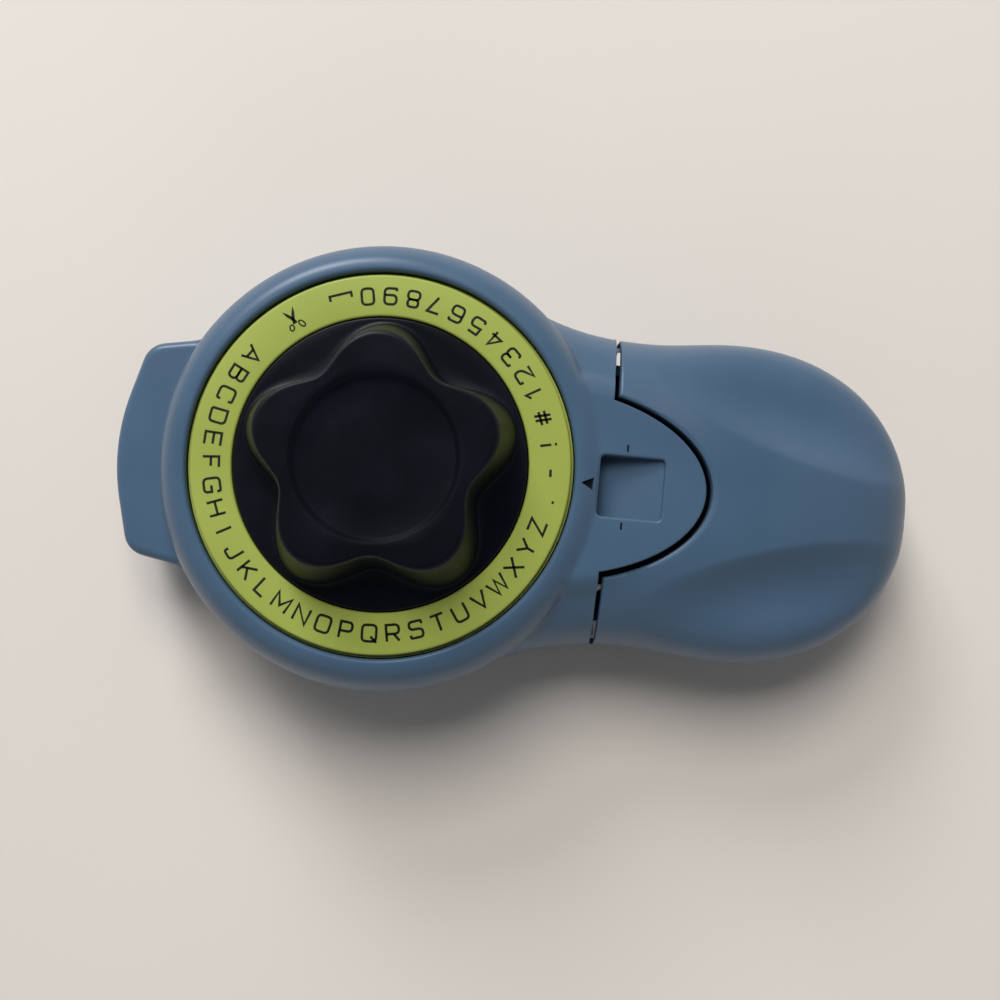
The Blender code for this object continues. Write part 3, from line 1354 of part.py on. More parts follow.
under = loft(
    "knob_under",
    [
        [
            (x, y, WEB_Z - OVERRUN)
            for x, y in lobed(KNOB_LOBE - KNOB_SKIN, KNOB_VALLEY - KNOB_SKIN, KNOB_STEPS // 2)
        ],
        [
            (x, y, KNOB_TOP_Z - KNOB_SKIN - RECESS_DEPTH)
            for x, y in lobed(
                KNOB_LOBE - KNOB_SKIN * 2 - KNOB_DRAFT, KNOB_VALLEY - KNOB_SKIN * 2, KNOB_STEPS // 2
            )
        ],
    ],
)
flange = post("knob_flange", RING_INNER - FIT, 0, 0, WEB_Z + DIAL_WEB / 2, DISC_TOP_Z, HEAD_STEPS)
hub = post("knob_hub", KNOB_HUB, 0, 0, WEB_Z, KNOB_TOP_Z - KNOB_SKIN)
recess = turned(
    "knob_recess",
    [
        (0, KNOB_TOP_Z + OVERRUN),
        (RECESS_RADIUS, KNOB_TOP_Z + OVERRUN),
        (RECESS_RADIUS, KNOB_TOP_Z),
        (RECESS_RADIUS - RECESS_SLOPE, KNOB_TOP_Z - RECESS_DEPTH),
        (0, KNOB_TOP_Z - RECESS_DEPTH),
    ],
    HEAD_STEPS // 2,
    closed=False,
)
shaft_bore = post("shaft_bore", SHAFT_HOLE, 0, 0, WEB_Z - OVERRUN, KNOB_TOP_Z - KNOB_SKIN * 3)
join(KNOB, flange, body)
cut(KNOB, under, recess)
join(KNOB, hub)
cut(KNOB, shaft_bore)

turned(
    "character_ring",
    [
        (RING_OUTER - RING_EDGE, RING_TOP_Z),
        (RING_OUTER, RING_TOP_Z - RING_EDGE),
        (RING_OUTER, RING_TOP_Z - RING_THICK),
        (RING_INNER, RING_TOP_Z - RING_THICK),
        (RING_INNER, RING_TOP_Z),
    ],
    HEAD_STEPS,
    LIME,
)
CLIP_TOP = CHASSIS_Z - FIT * 2 - CLIP_THICK * 2
groove_low = CLIP_TOP - CLIP_THICK - FIT / 2
groove_top = CLIP_TOP + FIT / 2
turned(
    "dial_shaft",
    [
        (0, KNOB_TOP_Z - KNOB_SKIN * 3 - FIT),
        (SHAFT_RADIUS, KNOB_TOP_Z - KNOB_SKIN * 3 - FIT),
        (SHAFT_RADIUS, groove_top),
        (SHAFT_RADIUS - CLIP_THICK, groove_top),
        (SHAFT_RADIUS - CLIP_THICK, groove_low),
        (SHAFT_RADIUS, groove_low),
        (SHAFT_RADIUS, SHAFT_LOW_Z),
        (0, SHAFT_LOW_Z),
    ],
    SMALL_STEPS,
    STEEL,
    closed=False,
)
bush_low = groove_top + FIT
turned(
    "dial_bush",
    [
        (BUSH_FLANGE, CHASSIS_TOP + FIT + BUSH_FLANGE_THICK),
        (BUSH_FLANGE, CHASSIS_TOP + FIT),
        (BUSH_RADIUS, CHASSIS_TOP + FIT),
        (BUSH_RADIUS, bush_low),
        (SHAFT_HOLE, bush_low),
        (SHAFT_HOLE, CHASSIS_TOP + FIT + BUSH_FLANGE_THICK),
    ],
    SMALL_STEPS,
    BRASS,
)
clip_in = SHAFT_RADIUS - CLIP_THICK + FIT
clip_open = box("clip_open", (0, -clip_in, SHAFT_LOW_Z), (CLIP_RADIUS * 2, clip_in, CHASSIS_Z))
CLIP = turned(
    "retaining_clip",
    [
        (CLIP_RADIUS, CLIP_TOP - FIT / 2),
        (CLIP_RADIUS, CLIP_TOP - CLIP_THICK + FIT / 2),
        (clip_in, CLIP_TOP - CLIP_THICK + FIT / 2),
        (clip_in, CLIP_TOP - FIT / 2),
    ],
    SMALL_STEPS,
    SPRING_STEEL,
)
cut(CLIP, clip_open)

# Hub with the detent notches, the punch wheel below the tape and the die wheel above it
DETENT_Z = CHASSIS_TOP + FIT + BUSH_FLANGE_THICK + FIT
detent_top = LOWER_WHEEL_Z - FIT
notched = []
for i in range(POSITIONS * 2):
    reach = DETENT_RADIUS - (DETENT_NOTCH if i % 2 else 0)
    notched.append((reach * math.cos(math.pi * i / POSITIONS), reach * math.sin(math.pi * i / POSITIONS)))
HUB = extruded("dial_hub", [notched], DETENT_Z, detent_top, WHITE)
join(HUB, post("hub_tower", TOWER_RADIUS, 0, 0, DETENT_Z + SINK, hub_top))
cut(HUB, post("hub_bore", SHAFT_HOLE, 0, 0, DETENT_Z - OVERRUN, hub_top + OVERRUN))


def petals():
    """Outline of a wheel whose rim is slit into petals, with a few left out at the window."""
    outline = []
    step = 2 * math.pi / POSITIONS
    root = WHEEL_ROOT
    slit_rim, slit_root = SLIT / WHEEL_RIM / 2, SLIT / root / 2
    for i in range(WINDOW_POSITIONS, POSITIONS):
        middle = WINDOW_TURN + step * (i + (1 - WINDOW_POSITIONS) / 2)
        for reach, turn in (
            (root, middle - step / 2 + slit_root),
            (WHEEL_RIM, middle - step / 2 + slit_rim),
            (WHEEL_RIM, middle + step / 2 - slit_rim),
            (root, middle + step / 2 - slit_root),
        ):
            outline.append((reach * math.cos(turn), reach * math.sin(turn)))
    return outline


wheel_bore = circle(TOWER_RADIUS + FIT, SMALL_STEPS)
extruded("punch_wheel", [petals(), wheel_bore], LOWER_WHEEL_Z, LOWER_WHEEL_Z + WHEEL_THICK, BLACK)
extruded("die_wheel", [petals(), wheel_bore], UPPER_WHEEL_Z, UPPER_WHEEL_Z + WHEEL_THICK, BLACK)
turned(
    "wheel_spacer",
    [
        (TOWER_RADIUS + WALL * 3 / 2, UPPER_WHEEL_Z - FIT),
        (TOWER_RADIUS + WALL * 3 / 2, LOWER_WHEEL_Z + WHEEL_THICK + FIT),
        (TOWER_RADIUS + FIT, LOWER_WHEEL_Z + WHEEL_THICK + FIT),
        (TOWER_RADIUS + FIT, UPPER_WHEEL_Z - FIT),
    ],
    SMALL_STEPS,
    WHITE,
)

# Detent spring: a leaf with a nib in one notch, screwed down beside the hub
spring_low = DETENT_Z + FIT
nib = DETENT_RADIUS + FIT
leaf = nib + DETENT_NOTCH
extruded(
    "detent_spring",
    [
        [
            (-leaf, -SPRING_REACH / 2),
            (-leaf, -DETENT_NOTCH),
            (-nib, 0),
            (-leaf, DETENT_NOTCH),
            (-leaf, SPRING_REACH / 2),
            (-leaf - WALL * 2, SPRING_REACH / 2),
            (-leaf - WALL * 2, SPRING_REACH / 2 - SPRING_STRIP * 5),
            (-leaf - SPRING_STRIP, SPRING_REACH / 2 - SPRING_STRIP * 5),
            (-leaf - SPRING_STRIP, -SPRING_REACH / 2),
        ]
    ],
    CHASSIS_TOP + FIT,
    CHASSIS_TOP + FIT + SPRING_HEIGHT,
    SPRING_STEEL,
)

# Return spring between tub and handle
coil_rise = SPRING_TOP_Z - SPRING_LOW_Z - SPRING_WIRE * 2
COIL_POINTS = 8
coil_steps = SPRING_TURNS * COIL_POINTS
curve = bpy.data.curves.new("return_spring", "CURVE")
curve.dimensions = "3D"
curve.bevel_depth = SPRING_WIRE
curve.bevel_resolution = 1
curve.use_fill_caps = True
spline = curve.splines.new("POLY")
spline.points.add(coil_steps)
for i, point in enumerate(spline.points):
    turn = 2 * math.pi * SPRING_TURNS * i / coil_steps
    point.co = (
        SPRING_RADIUS * math.cos(turn),
        SPRING_RADIUS * math.sin(turn),
        SPRING_LOW_Z + SPRING_WIRE + coil_rise * i / coil_steps,
        1,
    )
helper = bpy.data.objects.new("return_spring", curve)
TOOLS.objects.link(helper)
as_mesh("return_spring", helper, SPRING_STEEL, (SPRING_X, SPRING_Y, 0))

# Tape door in the tub's floor, on a pin between two lugs
knuckle = rod(
    "knuckle",
    KNUCKLE_RADIUS,
    (DOOR_HINGE_X, -KNUCKLE_HALF, HINGE_Z),
    (DOOR_HINGE_X, KNUCKLE_HALF, HINGE_Z),
    TINY_STEPS,
)
DOOR = box(
    "tape_door",
    (DOOR_HINGE_X + KNUCKLE_RADIUS + DOOR_GAP + FIT, -DOOR_HALF, DOOR_RECESS),
    (DOOR_END_X, DOOR_HALF, DOOR_TOP_Z),
    BLUE,
)
strap = box(
    "door_strap",
    (DOOR_HINGE_X, -KNUCKLE_HALF + FIT, DOOR_RECESS + FIT / 2),
    (DOOR_HINGE_X + KNUCKLE_RADIUS * 2, KNUCKLE_HALF - FIT, DOOR_TOP_Z - FIT / 2),
)
join(DOOR, knuckle, strap)
cut(DOOR, door_pin_hole)
DOOR_PIN = rod(
    "door_pin",
    DOOR_PIN_RADIUS,
    (DOOR_HINGE_X, -KNUCKLE_HALF - LUG_WIDTH, HINGE_Z),
    (DOOR_HINGE_X, KNUCKLE_HALF + LUG_WIDTH, HINGE_Z),
    TINY_STEPS,
    STEEL,
)
on_axis("door_axis", (DOOR_HINGE_X, 0, HINGE_Z), DOOR, DOOR_PIN)


def screws(name, places, seat_z, tip_z, down):
    """Pan-head screws that share a mesh. down is -1 where the heads are underneath, and 1 on top."""
    head_z = seat_z + down * SCREW_HEAD_THICK
    profile = [
        (0, head_z),
        (SCREW_HEAD, head_z),
        (SCREW_HEAD, seat_z),
        (SCREW_RADIUS, seat_z),
        (SCREW_RADIUS, tip_z),
        (0, tip_z),
    ]
    if down < 0:
        profile.reverse()
    first = turned(f"{name}_1", profile, TINY_STEPS, STEEL, closed=False)
    made = [first]
    for number in range(2, len(places) + 1):
        made.append(add_object(f"{name}_{number}", first.data, STEEL))
    for screw, place in zip(made, places):
        screw.location = (*place, 0)


leg_places = [(LEG_RING * math.cos(turn), LEG_RING * math.sin(turn)) for turn in LEG_TURNS]
screws("chassis_screw", leg_places, CHASSIS_TOP + FIT, CHASSIS_Z - SCREW_BITE, 1)
screws(
    "waist_screw",
    [(WAIST_SCREW_X, -WAIST_SCREW_Y), (WAIST_SCREW_X, WAIST_SCREW_Y)],
    SCREW_FLOOR - FIT,
    SEAM_Z + SCREW_BITE,
    -1,
)
screws(
    "nose_screw",
    [(NOSE_SCREW_X, -NOSE_SCREW_Y), (NOSE_SCREW_X, NOSE_SCREW_Y)],
    NOSE_LOW_Z + SCREW_FLOOR - FIT,
    NOSE_TOP_Z - WALL,
    -1,
)

# The middle of the whole length comes to the origin
tip_x = min(x for x, _ in nose_outline(0))
FRAME.location.x = -(tip_x + TAIL_X) / 2
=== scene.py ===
"""The looks of a hand-held embossing label maker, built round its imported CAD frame.

Sizes are in millimetres from the dial's axis, with the underside at height 0, and +X runs to the tail of the
squeeze handle. Each finished mesh is carried into the frame's metres as its last step.
"""

import json
import math

import bmesh
import bpy
from mathutils import Matrix, Vector


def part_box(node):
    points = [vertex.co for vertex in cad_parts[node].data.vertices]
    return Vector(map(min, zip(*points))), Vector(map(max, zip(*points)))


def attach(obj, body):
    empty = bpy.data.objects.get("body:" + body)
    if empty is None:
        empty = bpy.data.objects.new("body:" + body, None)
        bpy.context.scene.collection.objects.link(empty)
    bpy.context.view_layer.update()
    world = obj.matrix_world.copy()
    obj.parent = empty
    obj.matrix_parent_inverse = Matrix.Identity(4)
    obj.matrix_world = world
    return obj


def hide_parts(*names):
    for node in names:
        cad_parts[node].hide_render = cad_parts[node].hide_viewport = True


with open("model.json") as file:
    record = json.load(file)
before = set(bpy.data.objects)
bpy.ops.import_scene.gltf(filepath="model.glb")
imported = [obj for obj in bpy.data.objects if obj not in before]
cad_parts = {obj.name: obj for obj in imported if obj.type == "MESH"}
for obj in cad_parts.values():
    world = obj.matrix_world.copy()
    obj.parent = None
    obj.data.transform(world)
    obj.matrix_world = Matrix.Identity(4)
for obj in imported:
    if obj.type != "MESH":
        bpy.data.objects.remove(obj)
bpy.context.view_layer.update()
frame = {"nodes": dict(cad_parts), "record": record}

MM = 0.001
WELD = 0.00002
ring_low, ring_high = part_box("character_ring")
knob_low, knob_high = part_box("selector_knob")
housing_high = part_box("upper_housing")[1]
handle_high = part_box("squeeze_handle")[1]
DIAL = Vector(((ring_low.x + ring_high.x) / 2, 0, 0))
FRAME_PLACE = Matrix.Translation(DIAL) @ Matrix.Scale(MM, 4)

# Head and waist
HEAD_RADIUS = housing_high.y / MM
BEZEL_TOP = housing_high.z / MM
SEAM = 22.0
SEAM_GAP = 0.3
WALL = 2.0
LIP_IN = 37.2
LIP_ROUND = 0.8
SHOULDER_DROP = 9.8
FLARE_X = 22.0
WAIST_X = 50.0
WAIST_HALF = 30.8
GRIP_X = 69.0
GRIP_HALF = 32.2
TAIL_X = (handle_high.x - DIAL.x) / MM
FLARE = math.sqrt(HEAD_RADIUS**2 - FLARE_X**2) - WAIST_HALF
FLARE_POWER = 2.3
TAIL_POWER = 2.1
CROWN_X = 60.0
CROWN_TOP = 40.3
CROWN_POWER = 2.4
RIM = 20.0
SKIRT_BOTTOM = 16.5
SECTION_POWER = 3.0
SPLIT_X = 44.0
SPLIT_GAP = 0.9
EDGE = 0.35

# Tongue, its pocket and marks
TONGUE_X = 30.0
TONGUE_LENGTH = 32.7
TONGUE_HALF = 18.24
TONGUE_TOP = 40.6
TONGUE_LOW = 38.5
TONGUE_GAP = 1.1
TONGUE_FADE = 0.6
VALLEY_BLEND = 1.6
POCKET_X = 48.2
POCKET_LENGTH = 12.4
POCKET_WIDTH = 11.8
POCKET_DEPTH = 5.6
POCKET_END = 1.2
POCKET_CORNER = 0.9
POCKET_LIP = 0.5
POINTER_TIP = 38.5
POINTER_BASE = 41.0
POINTER_HALF = 1.3
TICK_X = 46.95
TICK_Y = 7.5
TICK_LENGTH = 1.4
TICK_WIDTH = 0.4

# Nose tab
NOSE_ROOT_X = -20.0
NOSE_ROOT_HALF = 26.5
NOSE_CORNER_X = -50.3
NOSE_CORNER_HALF = 21.0
NOSE_TIP_X = -55.8
NOSE_CORNER_ROUND = 5.0
NOSE_FRONT_ROUND = 42.0
NOSE_TOP = 27.5
NOSE_LOW = 9.0
NOSE_EDGE = 1.6
NOSE_FILLET = 2.2

# Finger hollows in the handle
DISH_X = 80.0
DISH_Y = 19.5
DISH_LENGTH = 29.0
DISH_WIDTH = 11.0
DISH_DEPTH = 3.7
DISH_POWER = 1.6
DISH_LEAN = 0.2
DISH_TURN = math.radians(16)
LIP_ROLL = 0.9

# Dial
RING_TOP = ring_high.z / MM
RING_OUTER = ring_high.y / MM
RING_INNER = 28.4
RING_LOW = ring_low.z / MM
RING_ROUND = 0.5
KNOB_TOP = knob_high.z / MM
KNOB_LOW = knob_low.z / MM
KNOB_LOBE = 27.0
KNOB_VALLEY = 20.2
LOBES = 5
LOBE_TURN = math.radians(21.4)
FLANGE = 28.1
FLANGE_TOP = 42.3
RECESS = 15.25
RECESS_DEPTH = 1.2


def add(name, bm, finish, body, stands_for=()):
    """Finishes a piece: normals, smooth shading with its sharp edges kept, its place and its body."""
    bmesh.ops.remove_doubles(bm, verts=bm.verts, dist=WELD / MM)
    bmesh.ops.recalc_face_normals(bm, faces=bm.faces)
    for face in bm.faces:
        face.smooth = True
    for edge in bm.edges:
        edge.smooth = len(edge.link_faces) == 2 and edge.calc_face_angle(0) < math.radians(38)
    bmesh.ops.transform(bm, matrix=FRAME_PLACE, verts=bm.verts)
    mesh = bpy.data.meshes.new(name)
    bm.to_mesh(mesh)
    bm.free()
    mesh.materials.append(finish)
    made = bpy.data.objects.new(name, mesh)
    bpy.context.scene.collection.objects.link(made)
    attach(made, body)
    if stands_for:
        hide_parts(*stands_for)


def carried_grid(columns, rows, place):
    """A grid whose corner (column, row) is carried to place(column, row)."""
    bm = bmesh.new()
    bmesh.ops.create_grid(bm, x_segments=columns, y_segments=rows, size=0.5)
    for vert in bm.verts:
        column = round((vert.co.x + 0.5) * columns)
        row = round((vert.co.y + 0.5) * rows)
        vert.co = place(column, row)
    return bm


def spun(profile, steps):
    """A closed profile of (radius, height) points, spun about the dial's axis."""
    bm = bmesh.new()
    verts = [bm.verts.new((radius, 0, height)) for radius, height in profile]
    edges = [bm.edges.new(pair) for pair in zip(verts, verts[1:] + verts[:1])]
    bmesh.ops.spin(
        bm,
        geom=verts + edges,
        cent=(0, 0, 0),
        axis=(0, 0, 1),
        angle=math.tau,
        steps=steps,
        use_merge=True,
        use_duplicate=False,
    )
    return bm


def smoothstep(value, low, high):
    """0 up to low, 1 from high on, and an S-curve between."""
    share = min(1.0, max(0.0, (value - low) / (high - low)))
    return share * share * (3 - 2 * share)


def smooth_max(a, b, blend):
    """The larger of two heights, with the crease between them rounded over blend."""
    near = max(blend - abs(a - b), 0.0) / blend
    return max(a, b) + near * near * blend / 4


def bulge(share, power):
    """A superellipse's height at a share of its half width."""
    return max(0.0, 1 - abs(share) ** power) ** (1 / power)


def half_width(x, tail_x=TAIL_X, inset=0.0):
    """Half the plan's width along the flare, the waist, the grip and the rounded tail."""
    if x <= WAIST_X:
        return WAIST_HALF + FLARE * ((WAIST_X - x) / (WAIST_X - FLARE_X)) ** FLARE_POWER - inset
    if x <= GRIP_X:
        ease = (1 - math.cos(math.pi * (x - WAIST_X) / (GRIP_X - WAIST_X))) / 2
        return WAIST_HALF + (GRIP_HALF - WAIST_HALF) * ease - inset
    return (GRIP_HALF - inset) * bulge(min(1.0, (x - GRIP_X) / (tail_x - GRIP_X)), TAIL_POWER)


def dish(x, y):
    """Depth of the two hollows that the thumb and fingers press into."""
    away, aside = x - DISH_X, abs(y) - DISH_Y
    along = away * math.cos(DISH_TURN) - aside * math.sin(DISH_TURN)
    across = away * math.sin(DISH_TURN) + aside * math.cos(DISH_TURN)
    # The deepest line lies nearer the inner edge, so the inner wall is steep and the outer one gentle
    share = max(-1.0, min(1.0, across / DISH_WIDTH))
    reach = (along / DISH_LENGTH) ** 2 + ((share + DISH_LEAN) / (1 + DISH_LEAN * share)) ** 2
    return DISH_DEPTH * (1 - reach) ** DISH_POWER if reach < 1 else 0.0


def skin(x, y):
    """Height of the waist and handle over a point of the plan."""
    half = half_width(x)
    if x > CROWN_X:
        top = RIM + (CROWN_TOP - RIM) * bulge(min(1.0, (x - CROWN_X) / (TAIL_X - CROWN_X)), CROWN_POWER)
    else:
        top = CROWN_TOP
    rise = bulge(min(1.0, abs(y) / half), SECTION_POWER) if half > 0 else 0.0
    return RIM + (top - RIM - dish(x, y)) * rise


def tongue_level(x, y):
    """Below 1 inside the tongue's outline, and above it outside."""
    return ((x - TONGUE_X) / TONGUE_LENGTH) ** 2 + (y / TONGUE_HALF) ** 2


def ellipse_reach(turn, centre_x, length, half):
    """Distance from the dial's axis to an ellipse round (centre_x, 0), along one direction."""
    c, s = math.cos(turn), math.sin(turn)
    a = (c / length) ** 2 + (s / half) ** 2
    b = -2 * c * centre_x / length**2
    k = (centre_x / length) ** 2 - 1
    return (-b + math.sqrt(max(0.0, b * b - 4 * a * k))) / (2 * a)


def crossing(inside, low, high):
    """The distance at which inside turns false, by halving."""
    for _ in range(40):
        middle = (low + high) / 2
        low, high = (middle, high) if inside(middle) else (low, middle)
    return low


def rounded_outline(corners, steps):
    """An outline from (x, y, radius) corners, each rounded by its radius."""
    outline = []
    for i, (x, y, radius) in enumerate(corners):
        here = Vector((x, y))
        if radius == 0:
            outline.append(here)
            continue
        before = (Vector(corners[i - 1][:2]) - here).normalized()
        after = (Vector(corners[(i + 1) % len(corners)][:2]) - here).normalized()
        half = before.angle(after) / 2
        centre = here + (before + after).normalized() * (radius / math.sin(half))
        first = here + before * (radius / math.tan(half)) - centre
        sweep = first.angle_signed(here + after * (radius / math.tan(half)) - centre)
        for k in range(steps + 1):
            spoke = first.copy()
            spoke.rotate(Matrix.Rotation(-sweep * k / steps, 2))
            outline.append(centre + spoke)
    return outline


# Nose tab's outline: straight sides, rounded corners and a bowed front
NOSE = rounded_outline(
    [
        (NOSE_ROOT_X, NOSE_ROOT_HALF, 0),
        (NOSE_CORNER_X, NOSE_CORNER_HALF, NOSE_CORNER_ROUND),
        (NOSE_TIP_X, 0, NOSE_FRONT_ROUND),
        (NOSE_CORNER_X, -NOSE_CORNER_HALF, NOSE_CORNER_ROUND),
        (NOSE_ROOT_X, -NOSE_ROOT_HALF, 0),
    ],
    16,
)


def nose_depth(x, y):
    """How far a point lies inside the nose tab's outline."""
    here = Vector((x, y))
    nearest = 1e9
    for start, end in zip(NOSE, NOSE[1:]):
        line = end - start
        share = min(1.0, max(0.0, (here - start).dot(line) / line.length_squared))
        away = here - start - line * share
        if away.length < abs(nearest):
            side = line.x * away.y - line.y * away.x
            nearest = math.copysign(away.length, side)
    return nearest


def nose_reach(turn):
    """Distance from the dial's axis to the nose tab's edge, rounded into the head's flank."""
    c, s = math.cos(turn), math.sin(turn)
    edge = crossing(lambda r: nose_depth(r * c, r * s) > 0, 30.0, 62.0)
    return smooth_max(edge, HEAD_RADIUS, NOSE_FILLET * 2)


# Materials
def linear(colour):
    """An sRGB hex colour in linear light."""
    parts = [int(colour[i : i + 2], 16) / 255 for i in (1, 3, 5)]
    return [p / 12.92 if p <= 0.04045 else ((p + 0.055) / 1.055) ** 2.4 for p in parts] + [1.0]


def node(tree, kind, settings=None, links=None):
    """Adds a node. A setting is a socket's value or the node's own, and a link names the socket it feeds."""
    made = tree.nodes.new("ShaderNode" + kind)
    for name, value in (settings or {}).items():
        if name == "stops":
            for stop, (position, colour) in zip(made.color_ramp.elements, value):
                stop.position, stop.color = position, linear(colour)
        elif name in made.inputs:
            made.inputs[name].default_value = value
        else:
            setattr(made, name, value)
    for name, source in (links or {}).items():
        tree.links.new(source, made.inputs[name])
    return made


def finish_of(name, shades, roughness, patch, grain, bump, metallic=0.0, ior=1.5, stretch=(1, 1, 1)):
    """A surface with patches of two close shades, roughness that drifts with them, and a fine relief.

    patch and grain are sizes in mm, and bump is the relief's height in mm. stretch draws the relief out
    along an axis.
    """
    made = bpy.data.materials.new(name)
    made.use_nodes = True
    tree = made.node_tree
    tree.nodes.clear()
    place = node(tree, "TexCoord").outputs["Object"]
    clouds = node(tree, "TexNoise", {"Scale": 1 / (patch * MM), "Detail": 3.0}, {"Vector": place})
    stops = [(0.35, shades[0]), (0.65, shades[1])]
    shade = node(tree, "ValToRGB", {"stops": stops}, {"Fac": clouds.outputs["Fac"]})
    gloss = node(
        tree,
        "MapRange",
        {"From Min": 0.3, "From Max": 0.7, "To Min": roughness[0], "To Max": roughness[1]},
        {"Value": clouds.outputs["Fac"]},
    )
    drawn = node(tree, "Mapping", {"Scale": stretch}, {"Vector": place})
    relief = node(
        tree,
        "TexNoise",
        {"Scale": 1 / (grain * MM), "Detail": 2.0, "Roughness": 0.6},
        {"Vector": drawn.outputs["Vector"]},
    )
    raised = node(tree, "Bump", {"Strength": 1.0, "Distance": bump * MM}, {"Height": relief.outputs["Fac"]})
    shader = node(
        tree,
        "BsdfPrincipled",
        {"Metallic": metallic, "IOR": ior},
        {
            "Base Color": shade.outputs["Color"],
            "Roughness": gloss.outputs["Result"],
            "Normal": raised.outputs["Normal"],
        },
    )
    node(tree, "OutputMaterial", {}, {"Surface": shader.outputs["BSDF"]})
    return made


# Injection-moulded ABS with a satin finish: a soft blurred highlight, and a mottle too fine to see far off
HOUSING_ABS = finish_of("satin_moulded_abs", ("#3f576e", "#445c74"), (0.30, 0.38), 30, 0.40, 0.012)
# The same polymer from a smoother tool: clean and even, a touch glossier than the housing
RING_ABS = finish_of("lime_moulded_abs", ("#8f9c47", "#96a34d"), (0.40, 0.48), 26, 0.5, 0.006)
# Dark ABS from a spark-eroded tool: fine pits that glitter along rounded edges
KNOB_ABS = finish_of("spark_grained_abs", ("#02040b", "#040711"), (0.40, 0.48), 12, 0.22, 0.026, 0.0, 1.38)
# Pad-printed ink: flat, matt and nearly black
INK = finish_of("pad_printed_ink", ("#0c140c", "#121c10"), (0.55, 0.65), 6, 0.3, 0.004)
# A flat, matt dark navy that fills the pointer and ticks
DARK_NAVY_FILL = finish_of("dark_navy_fill", ("#060d18", "#0a1420"), (0.50, 0.60), 6, 0.3, 0.004)
# Moulded acetal left undyed: milky and a little waxy
ACETAL = finish_of("natural_moulded_acetal", ("#dad7ca", "#e3e0d5"), (0.32, 0.42), 14, 0.5, 0.005)
# Moulded nylon with carbon black: dull, with a faint flow mottle
NYLON = finish_of("black_moulded_nylon", ("#18181a", "#212124"), (0.45, 0.56), 8, 0.4, 0.012)
# Zinc-plated steel, turned or stamped: bright and slightly clouded, with fine drawn lines
ZINC_SHADES, SPRING_SHADES = ("#b4b6ba", "#c9cbce"), ("#8f9196", "#a2a4a9")
ZINC = finish_of("zinc_plated_steel", ZINC_SHADES, (0.26, 0.38), 5, 0.25, 0.006, 1.0, 1.5, (1, 1, 0.1))
# Spring steel, drawn: darker than the plated parts, and glossier along its length
SPRING = finish_of("drawn_spring_steel", SPRING_SHADES, (0.22, 0.32), 4, 0.2, 0.005, 1.0, 1.5, (0.1, 1, 1))
# Sintered bronze: dull golden brown with open pores
BRONZE = finish_of("sintered_bronze", ("#8f6f42", "#a98450"), (0.42, 0.55), 2, 0.3, 0.02, 1.0)
# Moulded rubber: dark grey, with no sharp highlight at all
RUBBER = finish_of("moulded_grey_rubber", ("#2c2c2e", "#363638"), (0.72, 0.84), 5, 0.4, 0.015)
# Calendered vinyl tape: near black, even and glossy
VINYL = finish_of("calendered_vinyl_tape", ("#0e0e10", "#131315"), (0.16, 0.24), 10, 1.5, 0.004)

FINISHES = {
    "housing_blue": HOUSING_ABS,
    "ring_lime": RING_ABS,
    "knob_navy": KNOB_ABS,
    "acetal_white": ACETAL,
    "nylon_black": NYLON,
    "steel": ZINC,
    "spring_steel": SPRING,
    "bronze": BRONZE,
    "rubber_grey": RUBBER,
    "tape_black": VINYL,
}
for part in frame["record"]["subparts"]:
    carried = frame["nodes"][part["node"]]
    carried.data.materials.clear()
    carried.data.materials.append(FINISHES[part["material_slot"]])
# Corners of the carried parts that show from underneath are broken as a moulding's or a turned screw's are
SHOWN_BELOW = {"tape_door": 0.35, "nose_screw_1": 0.15, "nose_screw_2": 0.15, "waist_screw_1": 0.15}
SHOWN_BELOW |= {"waist_screw_2": 0.15, "door_pin": 0.1}
for name, width in SHOWN_BELOW.items():
    carried = frame["nodes"][name]
    joined = carried.modifiers.new("merged", "WELD")
    joined.merge_threshold = WELD
    broken = carried.modifiers.new("broken_edges", "BEVEL")
    broken.width, broken.segments, broken.limit_method = width * MM, 2, "ANGLE"
    broken.angle_limit = math.radians(35)


# Upper housing: every ray from the dial's axis runs over the bezel to the edge, and down to the seam
SPLIT_FRONT = SPLIT_X - SPLIT_GAP / 2
SPLIT_REAR = SPLIT_X + SPLIT_GAP / 2
LIP_OUT = LIP_IN + LIP_ROUND
SHOULDER = BEZEL_TOP - SHOULDER_DROP
SPLIT_CORNER = math.atan2(half_width(SPLIT_FRONT), SPLIT_FRONT)
ROOT_Y = TONGUE_HALF * math.sqrt(1 - ((SPLIT_FRONT - TONGUE_X) / TONGUE_LENGTH) ** 2)
TONGUE_ROOT = math.atan2(ROOT_Y, SPLIT_FRONT)
FLARE_START = math.acos(FLARE_X / HEAD_RADIUS)
NOSE_START = math.pi - math.radians(44)


def fine_turns():
    """Directions from 0 to half a turn, close together at the waist and nose, with each corner on a ray."""
    turns, turn = [], 0.0
    while turn < math.pi:
        turns.append(turn)
        near = turn < FLARE_START or turn > NOSE_START
        turn += math.radians(0.6 if near else 1.5)
    corners = [TONGUE_ROOT, SPLIT_CORNER]
    turns = [t for t in turns if all(abs(t - c) > math.radians(0.35) for c in corners)]
    for corner in corners:
        turns += [corner - math.radians(0.05), corner, corner + math.radians(0.05)]
    return sorted(turns)


HALF_TURNS = fine_turns()
TURNS = HALF_TURNS + [math.pi] + [-t for t in reversed(HALF_TURNS[1:])]


